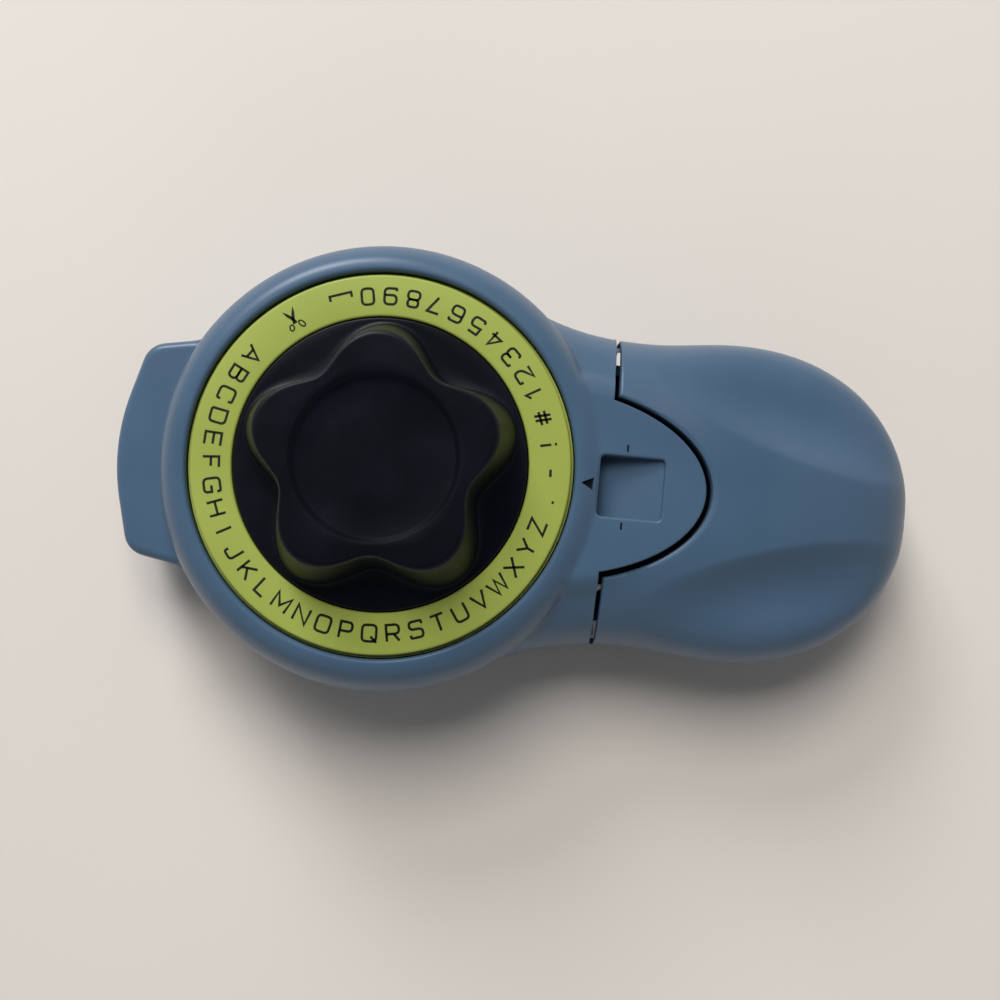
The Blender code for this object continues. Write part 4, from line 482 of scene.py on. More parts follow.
def edge_reach(turn):
    """Distance from the dial's axis to the upper housing's edge."""
    turn = abs(turn)
    if turn <= TONGUE_ROOT:
        return ellipse_reach(turn, TONGUE_X, TONGUE_LENGTH, TONGUE_HALF)
    if turn <= SPLIT_CORNER:
        return SPLIT_FRONT / math.cos(turn)
    if turn < FLARE_START:
        return crossing(lambda r: r * math.sin(turn) < half_width(r * math.cos(turn)), 33.0, 60.0)
    return nose_reach(turn) if turn > NOSE_START else HEAD_RADIUS


def head_top(r):
    """Height of the bezel and the shoulder that rolls down from it."""
    if r >= HEAD_RADIUS:
        return 0.0
    share = max(0.0, (r - LIP_OUT) / (HEAD_RADIUS - LIP_OUT))
    return SHOULDER + SHOULDER_DROP * math.sqrt(1 - share * share)


def upper_top(turn, r, reach):
    """Height of the upper housing over a point."""
    x, y = r * math.cos(turn), r * math.sin(turn)
    if x > FLARE_X:
        flat = 1 - smoothstep(tongue_level(x, y), 1.0, 1.0 + TONGUE_FADE)
        deck = skin(x, y) * (1 - flat) + TONGUE_TOP * flat
        return smooth_max(head_top(r), deck, VALLEY_BLEND)
    if abs(turn) > NOSE_START and reach > HEAD_RADIUS:
        depth = max(nose_depth(x, y), (reach - r) * 0.35)
        drop = NOSE_EDGE - math.sqrt(NOSE_EDGE**2 - max(0.0, NOSE_EDGE - depth) ** 2)
        away = r - HEAD_RADIUS
        lift = NOSE_FILLET - math.sqrt(NOSE_FILLET**2 - min(NOSE_FILLET, max(0.0, NOSE_FILLET - away)) ** 2)
        return max(head_top(r), NOSE_TOP - drop + lift)
    return head_top(r)


def even(points, count):
    """count + 1 points spaced evenly along a line of (radius, height) points."""
    lengths = [0.0]
    for (r0, z0), (r1, z1) in zip(points, points[1:]):
        lengths.append(lengths[-1] + math.hypot(r1 - r0, z1 - z0))
    made, k = [], 0
    for i in range(count + 1):
        want = lengths[-1] * i / count
        while k < len(lengths) - 2 and lengths[k + 1] < want:
            k += 1
        span = lengths[k + 1] - lengths[k]
        share = (want - lengths[k]) / span if span > 0 else 0.0
        share = min(1.0, max(0.0, share))
        (r0, z0), (r1, z1) = points[k], points[k + 1]
        made.append((r0 + (r1 - r0) * share, z0 + (z1 - z0) * share))
    return made


def quarter(r, z, radius, start, end, steps):
    """Points of an arc round (r, z), between two angles in degrees."""
    turns = [math.radians(start + (end - start) * k / steps) for k in range(steps + 1)]
    return [(r + radius * math.cos(t), z + radius * math.sin(t)) for t in turns]


SURFACE_ROWS = 60
DENSE = 240
UPPER_LOW = SEAM + SEAM_GAP


def upper_ray(turn):
    """The upper housing's section along one ray, from inside the bezel over the top and down its wall."""
    reach = edge_reach(turn)
    lip = [(LIP_IN, RING_LOW - WALL), (LIP_IN, BEZEL_TOP - LIP_ROUND)]
    lip += quarter(LIP_OUT, BEZEL_TOP - LIP_ROUND, LIP_ROUND, 180, 90, 6)[1:]
    corner = abs(turn) <= SPLIT_CORNER
    end = reach - EDGE if corner else reach
    dense = []
    for i in range(DENSE + 1):
        share = i / DENSE
        r = LIP_OUT + (end - LIP_OUT) * (1 - (1 - share) ** 2)
        dense.append((r, upper_top(turn, r, reach)))
    if corner:
        r, z = dense[-1]
        low = TONGUE_LOW if abs(turn) <= TONGUE_ROOT else UPPER_LOW
        rows = even(dense, SURFACE_ROWS - 6) + quarter(r, z - EDGE, EDGE, 90, 0, 4)[1:]
        return lip + rows + [(reach, (z + low) / 2), (reach, low)]
    dense = [(r, z) for r, z in dense if z > UPPER_LOW + EDGE]
    return lip + even(dense + [(reach, UPPER_LOW)], SURFACE_ROWS)


def shell_of(rays, wraps):
    """A skin over rays from an axis. A ray is (direction, centre_x, points)."""
    columns = len(rays) if wraps else len(rays) - 1

    def on_ray(column, row):
        turn, centre_x, points = rays[column % len(rays)]
        r, z = points[row]
        return Vector((centre_x + r * math.cos(turn), r * math.sin(turn), z))

    bm = carried_grid(columns, len(rays[0][2]) - 1, on_ray)
    bmesh.ops.remove_doubles(bm, verts=bm.verts, dist=WELD / MM)
    bmesh.ops.recalc_face_normals(bm, faces=bm.faces)
    return bm


def walled(bm, thickness):
    """Gives a skin its wall, on the inside."""
    bmesh.ops.solidify(bm, geom=bm.faces[:], thickness=thickness)
    return bm


def opened(bm, walls, low, high):
    """Cuts an opening with straight walls through a skin. A wall is (point, outward normal)."""

    def within(face, margin):
        centre = face.calc_center_median()
        if not all(low[k] < centre[k] < high[k] for k in range(3)):
            return False
        return all((centre - point).dot(normal) < margin for point, normal in walls)

    for point, normal in walls:
        faces = [face for face in bm.faces if within(face, 2.0)]
        edges = list({edge for face in faces for edge in face.edges})
        verts = list({vert for edge in edges for vert in edge.verts})
        bmesh.ops.bisect_plane(bm, geom=verts + edges + faces, dist=1e-5, plane_co=point, plane_no=normal)
    gone = [face for face in bm.faces if within(face, 0.0)]
    bmesh.ops.delete(bm, geom=gone, context="FACES")


def upright(outline):
    """The walls of a convex outline that is given anticlockwise on the plan."""
    walls = []
    for k, (x, y) in enumerate(outline):
        after_x, after_y = outline[(k + 1) % len(outline)]
        walls.append((Vector((x, y, 0)), Vector((after_y - y, x - after_x, 0)).normalized()))
    return walls


def plate(outline, low, high):
    """An outline on the plan, raised from low to high."""
    bm = bmesh.new()
    face = bm.faces.new([bm.verts.new((x, y, low)) for x, y in outline])
    raised = bmesh.ops.extrude_face_region(bm, geom=[face])
    tops = [part for part in raised["geom"] if isinstance(part, bmesh.types.BMVert)]
    bmesh.ops.translate(bm, verts=tops, vec=(0, 0, high - low))
    bmesh.ops.recalc_face_normals(bm, faces=bm.faces)
    return bm


def join(bm, other):
    """Adds another mesh's form to bm."""
    held = bpy.data.meshes.new("held")
    other.to_mesh(held)
    bm.from_mesh(held)
    bpy.data.meshes.remove(held)
    other.free()


def tube(inner, outer, low, high):
    """A tube on the dial's axis."""
    return spun([(inner, low), (outer, low), (outer, high), (inner, high)], 48)


def placed(bm, x, y, z=0.0, on_side=False):
    """Moves a form from the dial's axis to its place. On its side, its top points to -Y."""
    turn = Matrix.Rotation(math.radians(90), 4, "X") if on_side else Matrix.Identity(4)
    bmesh.ops.transform(bm, matrix=Matrix.Translation((x, y, z)) @ turn, verts=bm.verts)
    return bm


def rounded_box(x, y, length, width, corner, steps):
    """A rounded rectangle's outline round (x, y)."""
    outline = []
    for k, (side_x, side_y) in enumerate(((1, 1), (-1, 1), (-1, -1), (1, -1))):
        for i in range(steps + 1):
            turn = math.radians(90 * k + 90 * i / steps)
            outline.append(
                (
                    x + side_x * (length / 2 - corner) + corner * math.cos(turn),
                    y + side_y * (width / 2 - corner) + corner * math.sin(turn),
                )
            )
    return outline


# Openings in the upper housing: the pocket, the pointer and the ticks on the tongue, and the tape's way out
STATION_R, STATION_TURN = 33.0, math.radians(30)
STATION = Vector((STATION_R * math.sin(STATION_TURN), -STATION_R * math.cos(STATION_TURN), 0))
TAPE_HEIGHT = 30.5
EXIT_HALF = 5.1
EXIT_HIGH = 0.6
TAPE_ACROSS = Vector((-math.sin(STATION_TURN), math.cos(STATION_TURN), 0))
UP = Vector((0, 0, 1))
POINTER = [(POINTER_TIP, 0), (POINTER_BASE, -POINTER_HALF), (POINTER_BASE, POINTER_HALF)]
TICKS = []
for side in (-1, 1):
    corners = ((-1, -1), (1, -1), (1, 1), (-1, 1))
    TICKS.append([(TICK_X + a * TICK_WIDTH / 2, side * TICK_Y + b * TICK_LENGTH / 2) for a, b in corners])
POCKET_HOLE = rounded_box(
    POCKET_X, 0, POCKET_LENGTH + 2 * POCKET_LIP, POCKET_WIDTH + 2 * POCKET_LIP, POCKET_CORNER + POCKET_LIP, 3
)
exit_centre = STATION + UP * TAPE_HEIGHT
exit_walls = [(exit_centre + TAPE_ACROSS * EXIT_HALF * side, TAPE_ACROSS * side) for side in (-1, 1)]
exit_walls += [(exit_centre + UP * EXIT_HIGH * side, UP * side) for side in (-1, 1)]

upper = shell_of([(turn, 0.0, upper_ray(turn)) for turn in TURNS], True)
for outline in [POCKET_HOLE, POINTER] + TICKS:
    opened(upper, upright(outline), (POINTER_TIP - 3, -12, TONGUE_TOP - 0.5), (60, 12, BEZEL_TOP + 1))
opened(upper, exit_walls, (-30, -50, 25), (10, -30, 35))
add("upper_housing_shell", walled(upper, WALL), HOUSING_ABS, "base", ["upper_housing"])

# Dark navy fill in the pointer and ticks, sunk under the housing's surface
marks = plate(POINTER, head_top(POINTER_BASE) - WALL, head_top(POINTER_BASE) - 0.12)
for outline in TICKS:
    join(marks, plate(outline, TONGUE_LOW, TONGUE_TOP - 0.10))
add("pointer_and_ticks", marks, DARK_NAVY_FILL, "base")


def pocket_tray():
    """A rolled lip, straight walls, and a floor that rises from the dial side to the far edge."""
    steps = 7
    rings = []
    for turn in range(0, 91, 15):
        lip = POCKET_LIP * (1 - math.sin(math.radians(turn)))
        rings.append((lip, POCKET_LIP * (1 - math.cos(math.radians(turn))), 0.0))
    rings += [(0.0, POCKET_LIP, 0.5), (0.0, 0.0, 1.0), (-0.12, 0.0, 1.0), (-2.0, 0.0, 1.0), (-4.0, 0.0, 1.0)]
    sides = 4 * (steps + 1)

    def place(column, row):
        out, drop, share = rings[row]
        corner = max(0.05, POCKET_CORNER + out)
        outline = rounded_box(POCKET_X, 0, POCKET_LENGTH + 2 * out, POCKET_WIDTH + 2 * out, corner, steps)
        x, y = outline[column % sides]
        along = min(1.0, max(0.0, (x - POCKET_X) / POCKET_LENGTH + 0.5))
        deep = POCKET_DEPTH + (POCKET_END - POCKET_DEPTH) * along
        return Vector((x, y, TONGUE_TOP - max(min(drop, deep), deep * share)))

    bm = carried_grid(sides, len(rings) - 1, place)
    bmesh.ops.remove_doubles(bm, verts=bm.verts, dist=WELD / MM)
    rim = [edge for edge in bm.edges if len(edge.link_faces) == 1]
    inner_x = POCKET_LENGTH / 2 - 2.5
    middle = [e for e in rim if abs(e.verts[0].co.x - POCKET_X) < inner_x and abs(e.verts[0].co.y) < 3]
    bmesh.ops.edgeloop_fill(bm, edges=middle)
    return bm


add("pocket_tray", pocket_tray(), HOUSING_ABS, "base")

# Bosses under the upper housing, round the screws at the waist and nose
BOSS = 2.4
SCREW_BORE = 1.35
BOSS_GAP = 0.2
WAIST_SCREW_X, WAIST_SCREW_Y = 39.0, 25.6
NOSE_SCREW_X, NOSE_SCREW_Y = -44.0, 12.0
boss_sides = ((BOSS, 0), (0, BOSS), (-BOSS, 0), (0, -BOSS))
waist_top = min(skin(WAIST_SCREW_X + x, WAIST_SCREW_Y + y) for x, y in boss_sides)
bosses = bmesh.new()
for x, y, top in ((WAIST_SCREW_X, WAIST_SCREW_Y, waist_top), (NOSE_SCREW_X, NOSE_SCREW_Y, NOSE_TOP)):
    for side in (-1, 1):
        join(bosses, placed(tube(SCREW_BORE, BOSS, SEAM + BOSS_GAP, top - WALL / 2), x, side * y))
bmesh.ops.recalc_face_normals(bosses, faces=bosses.faces)
add("upper_housing_bosses", bosses, HOUSING_ABS, "base")

# Squeeze handle: rays from the tongue's centre run over its lip and crown to the rim, and down its skirt
HOLE_LENGTH = TONGUE_LENGTH + TONGUE_GAP
HOLE_HALF = TONGUE_HALF + TONGUE_GAP
FRONT = SPLIT_REAR - TONGUE_X
HANDLE_CORNER = math.atan2(half_width(SPLIT_REAR), FRONT)
HOLE_ROOT = math.atan2(HOLE_HALF * math.sqrt(1 - (FRONT / HOLE_LENGTH) ** 2), FRONT)
HANDLE_WALL = 1.2
CROWN_ROWS = 76
CROWN_DENSE = 400
HANDLE_COLUMNS = 300


def handle_inner(turn):
    """Distance from the tongue's centre to the handle's front edge."""
    if abs(turn) > HOLE_ROOT:
        return FRONT / math.cos(turn)
    c, s = math.cos(turn), math.sin(turn)
    return HOLE_LENGTH * HOLE_HALF / math.hypot(HOLE_HALF * c, HOLE_LENGTH * s)


def handle_outer(turn):
    """Distance from the tongue's centre to the handle's rim."""
    c, s = abs(math.cos(turn)), abs(math.sin(turn))

    def inside(r):
        x = TONGUE_X + r * c
        return x < TAIL_X and r * s < half_width(x)

    return crossing(inside, 10.0, 90.0)


def handle_ray(turn):
    """The handle's section along one ray, from under its lip over the crown and down its skirt."""
    inner, outer = handle_inner(turn), handle_outer(turn)
    span = max(outer - inner, 0.01)
    roll = min(LIP_ROLL, span * 0.45)
    dense = []
    for i in range(CROWN_DENSE + 1):
        r = inner + span * (1 - math.cos(math.pi * i / CROWN_DENSE)) / 2
        z = skin(TONGUE_X + r * math.cos(turn), r * math.sin(turn))
        away = min(roll, r - inner)
        dense.append((r, max(z - roll + math.sqrt(max(0.0, roll**2 - (roll - away) ** 2)), RIM)))
    r, z = dense[0]
    crown = even(dense, CROWN_ROWS)
    skirt = [(outer, RIM - 1.2), (outer, SKIRT_BOTTOM + 0.5)]
    skirt += [(outer - 0.15, SKIRT_BOTTOM + 0.12), (outer - 0.5, SKIRT_BOTTOM)]
    return [(r, max(z - WALL, SKIRT_BOTTOM + 1)), (r, max(z - WALL / 2, SKIRT_BOTTOM + 2))] + crown + skirt


HALF = HANDLE_COLUMNS // 2
handle_turns = [HANDLE_CORNER * k / HALF for k in range(-HALF, HALF + 1)]
handle_turns = [t for t in handle_turns if abs(abs(t) - HOLE_ROOT) > math.radians(0.2)]
handle_turns = sorted(handle_turns + [-HOLE_ROOT, HOLE_ROOT, -HOLE_ROOT - 0.0008, HOLE_ROOT + 0.0008])
crown_skin = shell_of([(turn, TONGUE_X, handle_ray(turn)) for turn in handle_turns], False)
walled(crown_skin, HANDLE_WALL)
add("squeeze_handle_shell", crown_skin, HOUSING_ABS, "handle", ["squeeze_handle"])

# Inside the handle: two arms with an eye round the pivot shaft, and the bar between them. The spring's seat
# stays in the solids alone, because the spring keeps its rest length when the handle moves.
PIVOT_X, PIVOT_Z = 30.0, 13.0
EYE_BORE, EYE_OUTER = 2.3, 5.0
ARM_NEAR, ARM_FAR = 19.9, 22.5
ARM_START, ARM_RISE, ARM_END = 33.2, 45.0, 52.0
ARM_LOW, ARM_HIGH, ARM_TOP = 9.0, 15.0, 36.6
BAR_X, BAR_Z = 48.2, 15.0
BAR_BORE, BAR_OUTER = 0.5, 1.6
ARM_OUTLINE = [(ARM_START, ARM_LOW), (ARM_END, ARM_LOW), (ARM_END, ARM_TOP)]
ARM_OUTLINE += [(ARM_RISE, ARM_TOP), (ARM_RISE, ARM_HIGH), (ARM_START, ARM_HIGH)]
arms = bmesh.new()
for side in (-1, 1):
    low, high = sorted((-side * ARM_NEAR, -side * ARM_FAR))
    join(arms, placed(plate(ARM_OUTLINE, low, high), 0, 0, 0, True))
    join(arms, placed(tube(EYE_BORE, EYE_OUTER, low, high), PIVOT_X, 0, PIVOT_Z, True))
join(arms, placed(tube(BAR_BORE, BAR_OUTER, -ARM_NEAR - 1, ARM_NEAR + 1), BAR_X, 0, BAR_Z, True))
bmesh.ops.recalc_face_normals(arms, faces=arms.faces)
add("squeeze_handle_arms", arms, HOUSING_ABS, "handle")

# Lower housing's wall: smooth from foot to seam, round the head, the waist, the tub in the handle and the
# nose. It stands PROUD of the carried solid, which stays under it.
PROUD = 0.03
LOWER_WALL = 0.4
FOOT = 3.0
DRAFT = 1.0
TUB_INSET = 5.0
TUB_TAIL = TAIL_X - 5.6
TUB_SHOWN = 18.0


def drawn_in(z):
    """How far the wall stands inside its outline at a height."""
    slope = DRAFT * max(0.0, 24.0 - z) / 21.0 if z > FOOT else DRAFT
    return slope + (FOOT - math.sqrt(max(0.0, FOOT**2 - (FOOT - z) ** 2)) if z < FOOT else 0.0) - PROUD


def lower_reach(turn, z):
    """Distance from the dial's axis to the lower housing's wall at a height."""
    inset, c, s = drawn_in(z), math.cos(turn), abs(math.sin(turn))
    reach = HEAD_RADIUS - inset
    if abs(turn) < FLARE_START:
        side = crossing(lambda r: r * s < half_width(r * c) - inset, 30.0, 140.0)
        waist = min(side, (SPLIT_FRONT - inset) / c)
        tail = TUB_TAIL - inset
        narrow = TUB_INSET + inset
        tub = crossing(lambda r: r * c < tail and r * s < half_width(r * c, tail, narrow), 30.0, 140.0)
        reach = max(reach, waist, tub)
    return reach


FOOT_TURNS = [math.radians(a) for a in (1, 15, 30, 45, 60, 75, 90)]


def lower_ray(turn):
    """The lower wall's section along one ray, from the foot up to the seam or the nose's underside."""
    heights = [FOOT - FOOT * math.cos(a) for a in FOOT_TURNS]
    points = [(lower_reach(turn, z), z + 0.02) for z in heights]
    nose = nose_reach(turn) if abs(turn) > NOSE_START else 0.0
    if nose > HEAD_RADIUS + 0.4:
        under = NOSE_LOW - PROUD
        root = lower_reach(turn, under)
        points += [(lower_reach(turn, z), z) for z in (5.0, 7.0, under)]
        edge = min(NOSE_EDGE, (nose - HEAD_RADIUS) * 0.5)
        points += [(root + (nose - edge - root) * share, under) for share in (0.5, 1.0)]
        points += quarter(nose - edge, under + edge, edge + PROUD / 2, -90, 0, 4)[1:]
        return points + [(nose + PROUD / 2, z) for z in (14.0, 18.0, SEAM)]
    top = SEAM
    if lower_reach(turn, SEAM) * math.cos(turn) > SPLIT_FRONT + 0.3:
        top = TUB_SHOWN
    return points + [(lower_reach(turn, z), z) for z in [FOOT + (top - FOOT) * k / 12 for k in range(1, 13)]]


lower = shell_of([(turn, 0.0, lower_ray(turn)) for turn in TURNS], True)
add("lower_housing_wall", walled(lower, LOWER_WALL), HOUSING_ABS, "base")

# Character ring: a flat moulding with rounded edges, and a low step outside it that shows as a dark groove
GROOVE_GAP = 0.25
GROOVE_DEPTH = 2.6
step_edge = (LIP_IN - GROOVE_GAP, RING_TOP - GROOVE_DEPTH - 0.05)
ring_profile = [(RING_INNER, RING_LOW), (LIP_IN - GROOVE_GAP, RING_LOW), step_edge]
ring_profile += [(RING_OUTER, RING_TOP - GROOVE_DEPTH)]
ring_profile += quarter(RING_OUTER - RING_ROUND, RING_TOP - RING_ROUND, RING_ROUND, 0, 90, 5)
ring_profile += quarter(RING_INNER + RING_ROUND, RING_TOP - RING_ROUND, RING_ROUND, 90, 180, 5)
add("character_ring_moulding", spun(ring_profile, 240), RING_ABS, "dial", ["character_ring"])

# Lettering on the ring, drawn as strokes of one width. The tops of the characters point to the knob.
# A stroke is a run of points "x,y" from 0 to 1, "o" closes it, and "s" keeps a corner sharp.
INK_LIFT = 0.012
INK_WIDTH = 0.50
LETTER_HEIGHT = 3.1
LETTER_ROUND = 0.85
LETTER_R = 32.3
PICTURE_TURN = 5.4
LETTERS = {
    "A": (2.8, "0,0 .5,1s 1,0", ".16,.33 .84,.33"),
    "B": (2.4, "0,.5s 0,1s .95,1 .95,.53 0,.53", "0,.53s 1,.53 1,0 0,0s 0,.53s"),
    "C": (2.5, "1,.76 1,1 0,1 0,0 1,0 1,.24"),
    "D": (2.6, "0,0s 0,1s 1,1 1,0 0,0s"),
    "E": (2.4, "1,0 0,0s 0,1s 1,1", "0,.52 .92,.52"),
    "F": (2.0, "0,0 0,1s 1,1", "0,.5 .9,.5"),
    "G": (2.6, "1,.78 1,1 0,1 0,0 1,0 1,.46s .52,.46"),
    "H": (2.6, "0,0 0,1", "1,0 1,1", "0,.5 1,.5"),
    "I": (1.0, ".5,0 .5,1"),
    "J": (2.0, "1,1 1,0 0,0 0,.28"),
    "K": (2.4, "0,0 0,1", "1,1 0,.36", ".36,.59 1,0"),
    "L": (2.0, "0,1 0,0s 1,0"),
    "M": (3.0, "0,0 0,1s .5,.28s 1,1s 1,0"),
    "N": (2.6, "0,0 0,1s 1,0s 1,1"),
    "O": (2.7, "o 0,0 0,1 1,1 1,0"),
    "P": (2.3, "0,0 0,1s 1,1 1,.44 0,.44"),
    "Q": (2.7, "o 0,0 0,1 1,1 1,0", ".6,.3 1.04,-.06"),
    "R": (2.4, "0,0 0,1s 1,1 1,.44 0,.44", ".56,.44 1,0"),
    "S": (2.4, "1,.8 1,1 0,1 0,.54 1,.5 1,0 0,0 0,.2"),
    "T": (2.5, "0,1 1,1", ".5,1 .5,0"),
    "U": (2.5, "0,1 0,0 1,0 1,1"),
    "V": (2.7, "0,1 .5,0s 1,1"),
    "W": (3.6, "0,1 .25,0s .5,.9s .75,0s 1,1"),
    "X": (2.6, "0,0 1,1", "0,1 1,0"),
    "Y": (2.6, "0,1 .5,.46s 1,1", ".5,.46 .5,0"),
    "Z": (2.4, "0,1 1,1s 0,0s 1,0"),
    "0": (2.3, "o 0,0 0,1 1,1 1,0"),
    "1": (1.2, "0,.76 .75,1s .75,0"),
    "2": (2.3, "0,.76 0,1 1,1 1,.5 0,0s 1,0"),
    "3": (2.3, "0,.82 0,1 1,1 1,.53 .4,.53", ".4,.53 1,.53 1,0 0,0 0,.18"),
    "4": (2.3, ".72,0 .72,1s 0,.28s 1,.28"),
    "5": (2.3, ".92,1 .1,1s .04,.56s 1,.62 1,0 0,0 0,.18"),
    "6": (2.3, "1,.84 1,1 0,1 0,0 1,0 1,.58 0,.58"),
    "7": (2.3, "0,1 1,1s .36,0"),
    "8": (2.3, "o .06,.53 .06,1 .94,1 .94,.53", "o 0,0 0,.53 1,.53 1,0"),
    "9": (2.3, "0,.16 0,0 1,0 1,1 0,1 0,.42 1,.42"),
    "!": (1.0, ".5,1 .5,.32", ".5,.1 .5,-.04"),
    "#": (2.6, ".26,0 .42,1", ".6,0 .76,1", "0,.33 1,.33", "0,.67 1,.67"),
    ".": (1.0, ".5,-.04 .5,.1"),
    "-": (1.4, "0,.42 1,.42"),
    "space": (4.2, "0,.42 0,.1s 1,.1s 1,.42"),
}
PLACES = {"!": 6.3, "#": 15.7, "1": 24.5, "2": 31.7, "3": 39.5, "4": 47.5, "5": 55.3, "6": 63.0, "7": 71.2}
PLACES |= {"8": 78.8, "9": 86.7, "0": 94.5, "space": 103.5, ".": 347.2, "-": 356.7}
PLACES |= {letter: 139.7 + 7.932 * k for k, letter in enumerate("ABCDEFGHIJKLMNOPQRSTUVWXYZ")}
SCISSORS_TURN = 121.2


def on_ring(degrees):
    """Carries a mark from the origin to its place on the ring, its top to the dial's axis."""
    turn = math.radians(degrees + PICTURE_TURN)
    place = Vector((LETTER_R * math.cos(turn), LETTER_R * math.sin(turn), RING_TOP + INK_LIFT))
    return Matrix.Translation(place) @ Matrix.Rotation(turn + math.pi / 2, 4, "Z")


def eased(points, sharp, closed):
    """A run of points with its soft corners rounded."""
    made = []
    for k, here in enumerate(points):
        if (not closed and k in (0, len(points) - 1)) or k in sharp:
            made.append(here)
            continue
        before, after = points[k - 1] - here, points[(k + 1) % len(points)] - here
        reach = min(LETTER_ROUND, before.length * 0.48, after.length * 0.48)
        first, last = here + before.normalized() * reach, here + after.normalized() * reach
        for i in range(7):
            share = i / 6
            made.append(first * (1 - share) ** 2 + here * 2 * share * (1 - share) + last * share**2)
    return made


def stroke(bm, points, widths, closed, place):
    """A flat stroke of ink along a run of points."""
    rails = []
    count = len(points)
    for k, here in enumerate(points):
        before = points[k - 1] if closed or k > 0 else here * 2 - points[1]
        after = points[(k + 1) % count] if closed or k < count - 1 else here * 2 - points[-2]
        along, next_along = (here - before).normalized(), (after - here).normalized()
        middle = (along + next_along).normalized()
        aside = Vector((-middle.y, middle.x))
        stretch = 1 / max(0.5, middle.dot(along))
        half = widths[min(k, len(widths) - 1)] / 2 * stretch
        rails.append([bm.verts.new(place @ (here + aside * half * side).to_3d()) for side in (-1, 1)])
    for k in range(count if closed else count - 1):
        (a, b), (c, d) = rails[k], rails[(k + 1) % count]
        bm.faces.new((a, c, d, b))


letters = bmesh.new()
for text, (width, *strokes) in LETTERS.items():
    for run in strokes:
        words = run.split()
        closed = words[0] == "o"
        words = words[1:] if closed else words
        sharp = {k for k, word in enumerate(words) if word.endswith("s")}
        points = []
        for word in words:
            x, y = (float(part) for part in word.rstrip("s").split(","))
            points.append(Vector(((x - 0.5) * width, (y - 0.5) * LETTER_HEIGHT)))
        stroke(letters, eased(points, sharp, closed), [INK_WIDTH], closed, on_ring(PLACES[text]))

# Scissors, with their points to the rim: two tapered blades, a round finger loop and a long one
here = on_ring(SCISSORS_TURN)
for side in (-1, 1):
    blade = [Vector((x * side, y)) for x, y in ((-0.3, 0.7), (0.15, -0.5), (0.65, -1.4), (1.15, -2.4))]
    stroke(letters, blade, [0.45, 0.62, 0.55, 0.05], False, here)
    long = 0.5 if side > 0 else 0.25
    bow = []
    for k in range(16):
        c, s = math.cos(math.tau * k / 16), math.sin(math.tau * k / 16)
        bow.append(Vector((-0.5 * side, 1.3 + long * 0.7)) + Vector((0.42 * c, (0.42 + long * 0.7) * s)))
    turned = Matrix.Rotation(math.radians(22) * side, 2)
    stroke(letters, [turned @ point for point in bow], [0.30], True, here)
for face in letters.faces:
    face.normal_update()
    if face.normal.z < 0:
        face.normal_flip()
bmesh.ops.solidify(letters, geom=letters.faces[:], thickness=INK_LIFT * 2)
add("ring_lettering", letters, INK, "dial")

# Knob: a lobed grip on a flange, with a shallow round recess on top
KNOB_ROUND = 1.3
KNOB_DRAFT = 3.4
LOBE_FULLNESS = 0.3
RIM_SOFT = 0.2
STEP_SOFT = 0.2
STEP_RUN = 0.9
HUB_TOP = 40.1


def knob_ray(turn):
    """The knob's section along one ray, from its recess over the lobe and flange to its underside."""
    swell = (1 + math.cos(LOBES * (turn - LOBE_TURN))) / 2
    swell *= 1 + LOBE_FULLNESS * (1 - swell)
    foot = KNOB_VALLEY + (KNOB_LOBE - KNOB_VALLEY) * swell
    ease = 0.55 + 0.45 * swell
    draft, across = KNOB_DRAFT * ease, KNOB_ROUND * ease
    floor = KNOB_TOP - RECESS_DEPTH
    step_in, step_out = RECESS - STEP_RUN / 2, RECESS + STEP_RUN / 2
    points = [(0.0, floor), (5.0, floor), (10.0, floor), (step_in - STEP_SOFT, floor)]
    points += [(step_in, floor + 0.05), (step_in + 0.1, floor + 0.2), (step_out - 0.1, KNOB_TOP - 0.2)]
    points += [(step_out, KNOB_TOP - 0.05), (step_out + RIM_SOFT, KNOB_TOP)]
    flat = foot - draft - across
    start = step_out + RIM_SOFT
    points += [(start + (flat - start) * share, KNOB_TOP) for share in (0.3, 0.6, 0.9)]
    tangent = math.degrees(math.atan2(draft, KNOB_TOP - FLANGE_TOP))
    for k in range(11):
        a = math.radians(90 - (90 - tangent) * k / 10)
        points.append((flat + across * math.cos(a), KNOB_TOP - KNOB_ROUND * (1 - math.sin(a))))
    r, z = points[-1]
    low = FLANGE_TOP + 0.6
    for share in [k / 8 for k in range(1, 9)]:
        points.append((r + (foot - 0.25 - r) * share, z + (low - z) * share))
    points += [(foot - 0.1, FLANGE_TOP + 0.2), (foot + 0.3, FLANGE_TOP)]
    points += [(foot + 0.3 + (FLANGE - 0.6 - foot) * share, FLANGE_TOP) for share in (0.35, 0.7, 1.0)]
    points += quarter(FLANGE - 0.3, FLANGE_TOP - 0.3, 0.3, 60, 0, 2)
    points += [(FLANGE, HUB_TOP), (RING_OUTER, HUB_TOP), (RING_OUTER, KNOB_LOW)]
    return points + [(20.0, KNOB_LOW), (0.0, KNOB_LOW)]


KNOB_COLUMNS = 360
knob_turns = [math.tau * k / KNOB_COLUMNS for k in range(KNOB_COLUMNS)]
knob = shell_of([(turn, 0.0, knob_ray(turn)) for turn in knob_turns], True)
add("selector_knob_moulding", knob, KNOB_ABS, "dial", ["selector_knob"])

# Floor, light and camera
floor_mesh = bpy.data.meshes.new("floor")
floor_bm = bmesh.new()
bmesh.ops.create_grid(floor_bm, x_segments=2, y_segments=2, size=3.0)
floor_bm.to_mesh(floor_mesh)
floor_bm.free()
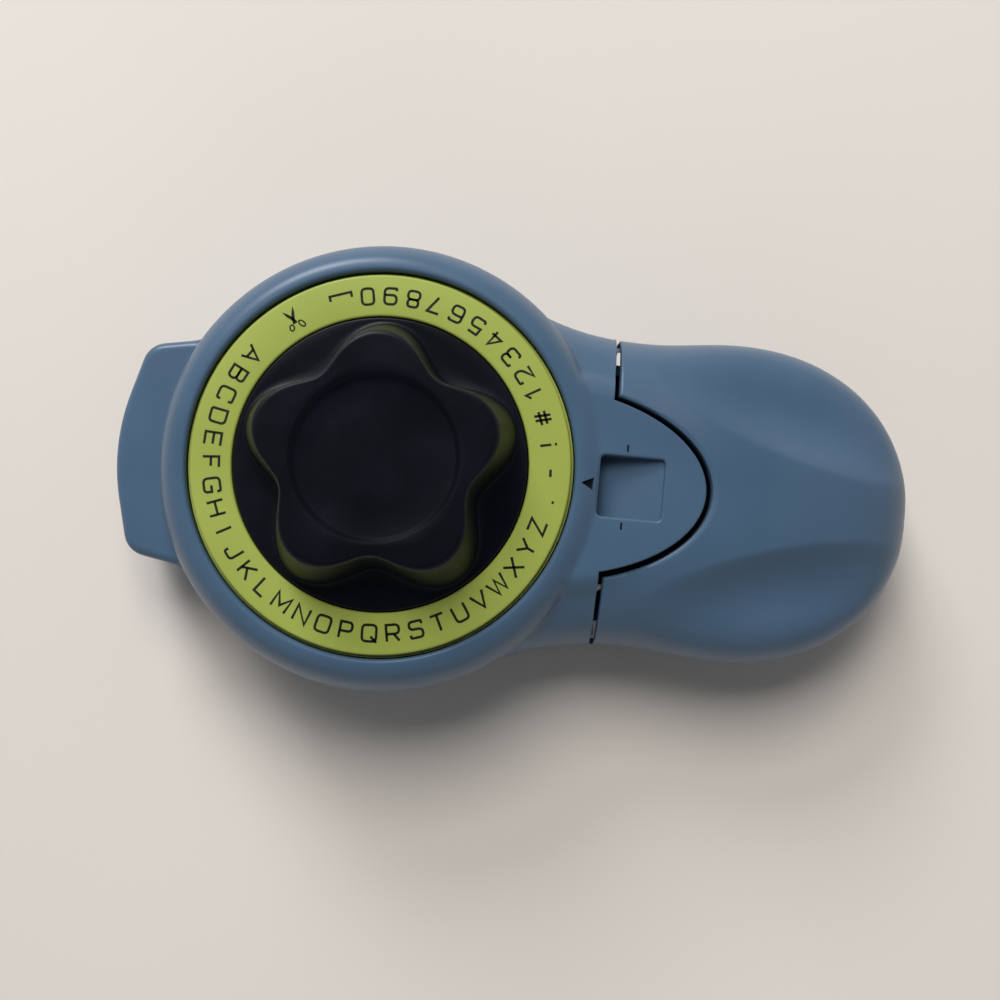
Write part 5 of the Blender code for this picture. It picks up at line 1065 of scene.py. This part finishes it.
# Pale matt paper sweep
PAPER = finish_of("pale_matt_paper", ("#cfcac4", "#d3cec8"), (0.85, 0.92), 220, 1.2, 0.01)
floor_mesh.materials.append(PAPER)
floor = bpy.data.objects.new("floor", floor_mesh)
floor.location = (0, 0, -0.0001)
bpy.context.scene.collection.objects.link(floor)

# A room that is bright at the sides and dim overhead, where the photographer stands
world = bpy.data.worlds.new("soft_room")
world.use_nodes = True
sky = world.node_tree
sky.nodes.clear()
height = node(sky, "SeparateXYZ", {}, {"Vector": node(sky, "TexCoord").outputs["Generated"]})
sky_stops = [(0.35, "#eef1f6"), (0.95, "#50545c")]
shade = node(sky, "ValToRGB", {"stops": sky_stops}, {"Fac": height.outputs["Z"]})
glow = node(sky, "Background", {"Strength": 0.39}, {"Color": shade.outputs["Color"]})
node(sky, "OutputWorld", {}, {"Surface": glow.outputs["Background"]})
bpy.context.scene.world = world


def lamp(name, place, size, watts, colour):
    """An area light that faces the dial's foot."""
    light = bpy.data.lights.new(name, "AREA")
    light.size, light.energy, light.color = size, watts, linear(colour)[:3]
    holder = bpy.data.objects.new(name, light)
    holder.location = place
    holder.rotation_euler = (-Vector(place)).to_track_quat("-Z", "Y").to_euler()
    bpy.context.scene.collection.objects.link(holder)
    return holder


# A broad light from above sets the shadow, a window at the picture's top left sets the sheen, and a weak
# return from the wall opposite keeps the near side from going black
above = lamp("ceiling_light", (-0.15, 0.50, 1.05), 0.55, 10.8, "#fffaf4")
lamp("window_light", (-0.85, 1.75, 1.30), 0.85, 32.5, "#f8faff")
opposite = lamp("wall_light", (0.30, -1.20, 0.75), 0.90, 1.2, "#fffaf4")
above.visible_glossy = opposite.visible_glossy = False

LENS = 53.6
SENSOR = 36
view_camera = bpy.data.cameras.new("camera")
view_camera.sensor_width, view_camera.lens = SENSOR, LENS
camera = bpy.data.objects.new("camera", view_camera)
camera.location = (-0.00047, -0.02314, 0.325)
camera.rotation_euler = (math.radians(3.726), 0, math.radians(5.4))
bpy.context.scene.collection.objects.link(camera)
bpy.context.scene.camera = camera
bpy.context.scene.view_settings.view_transform = "Standard"
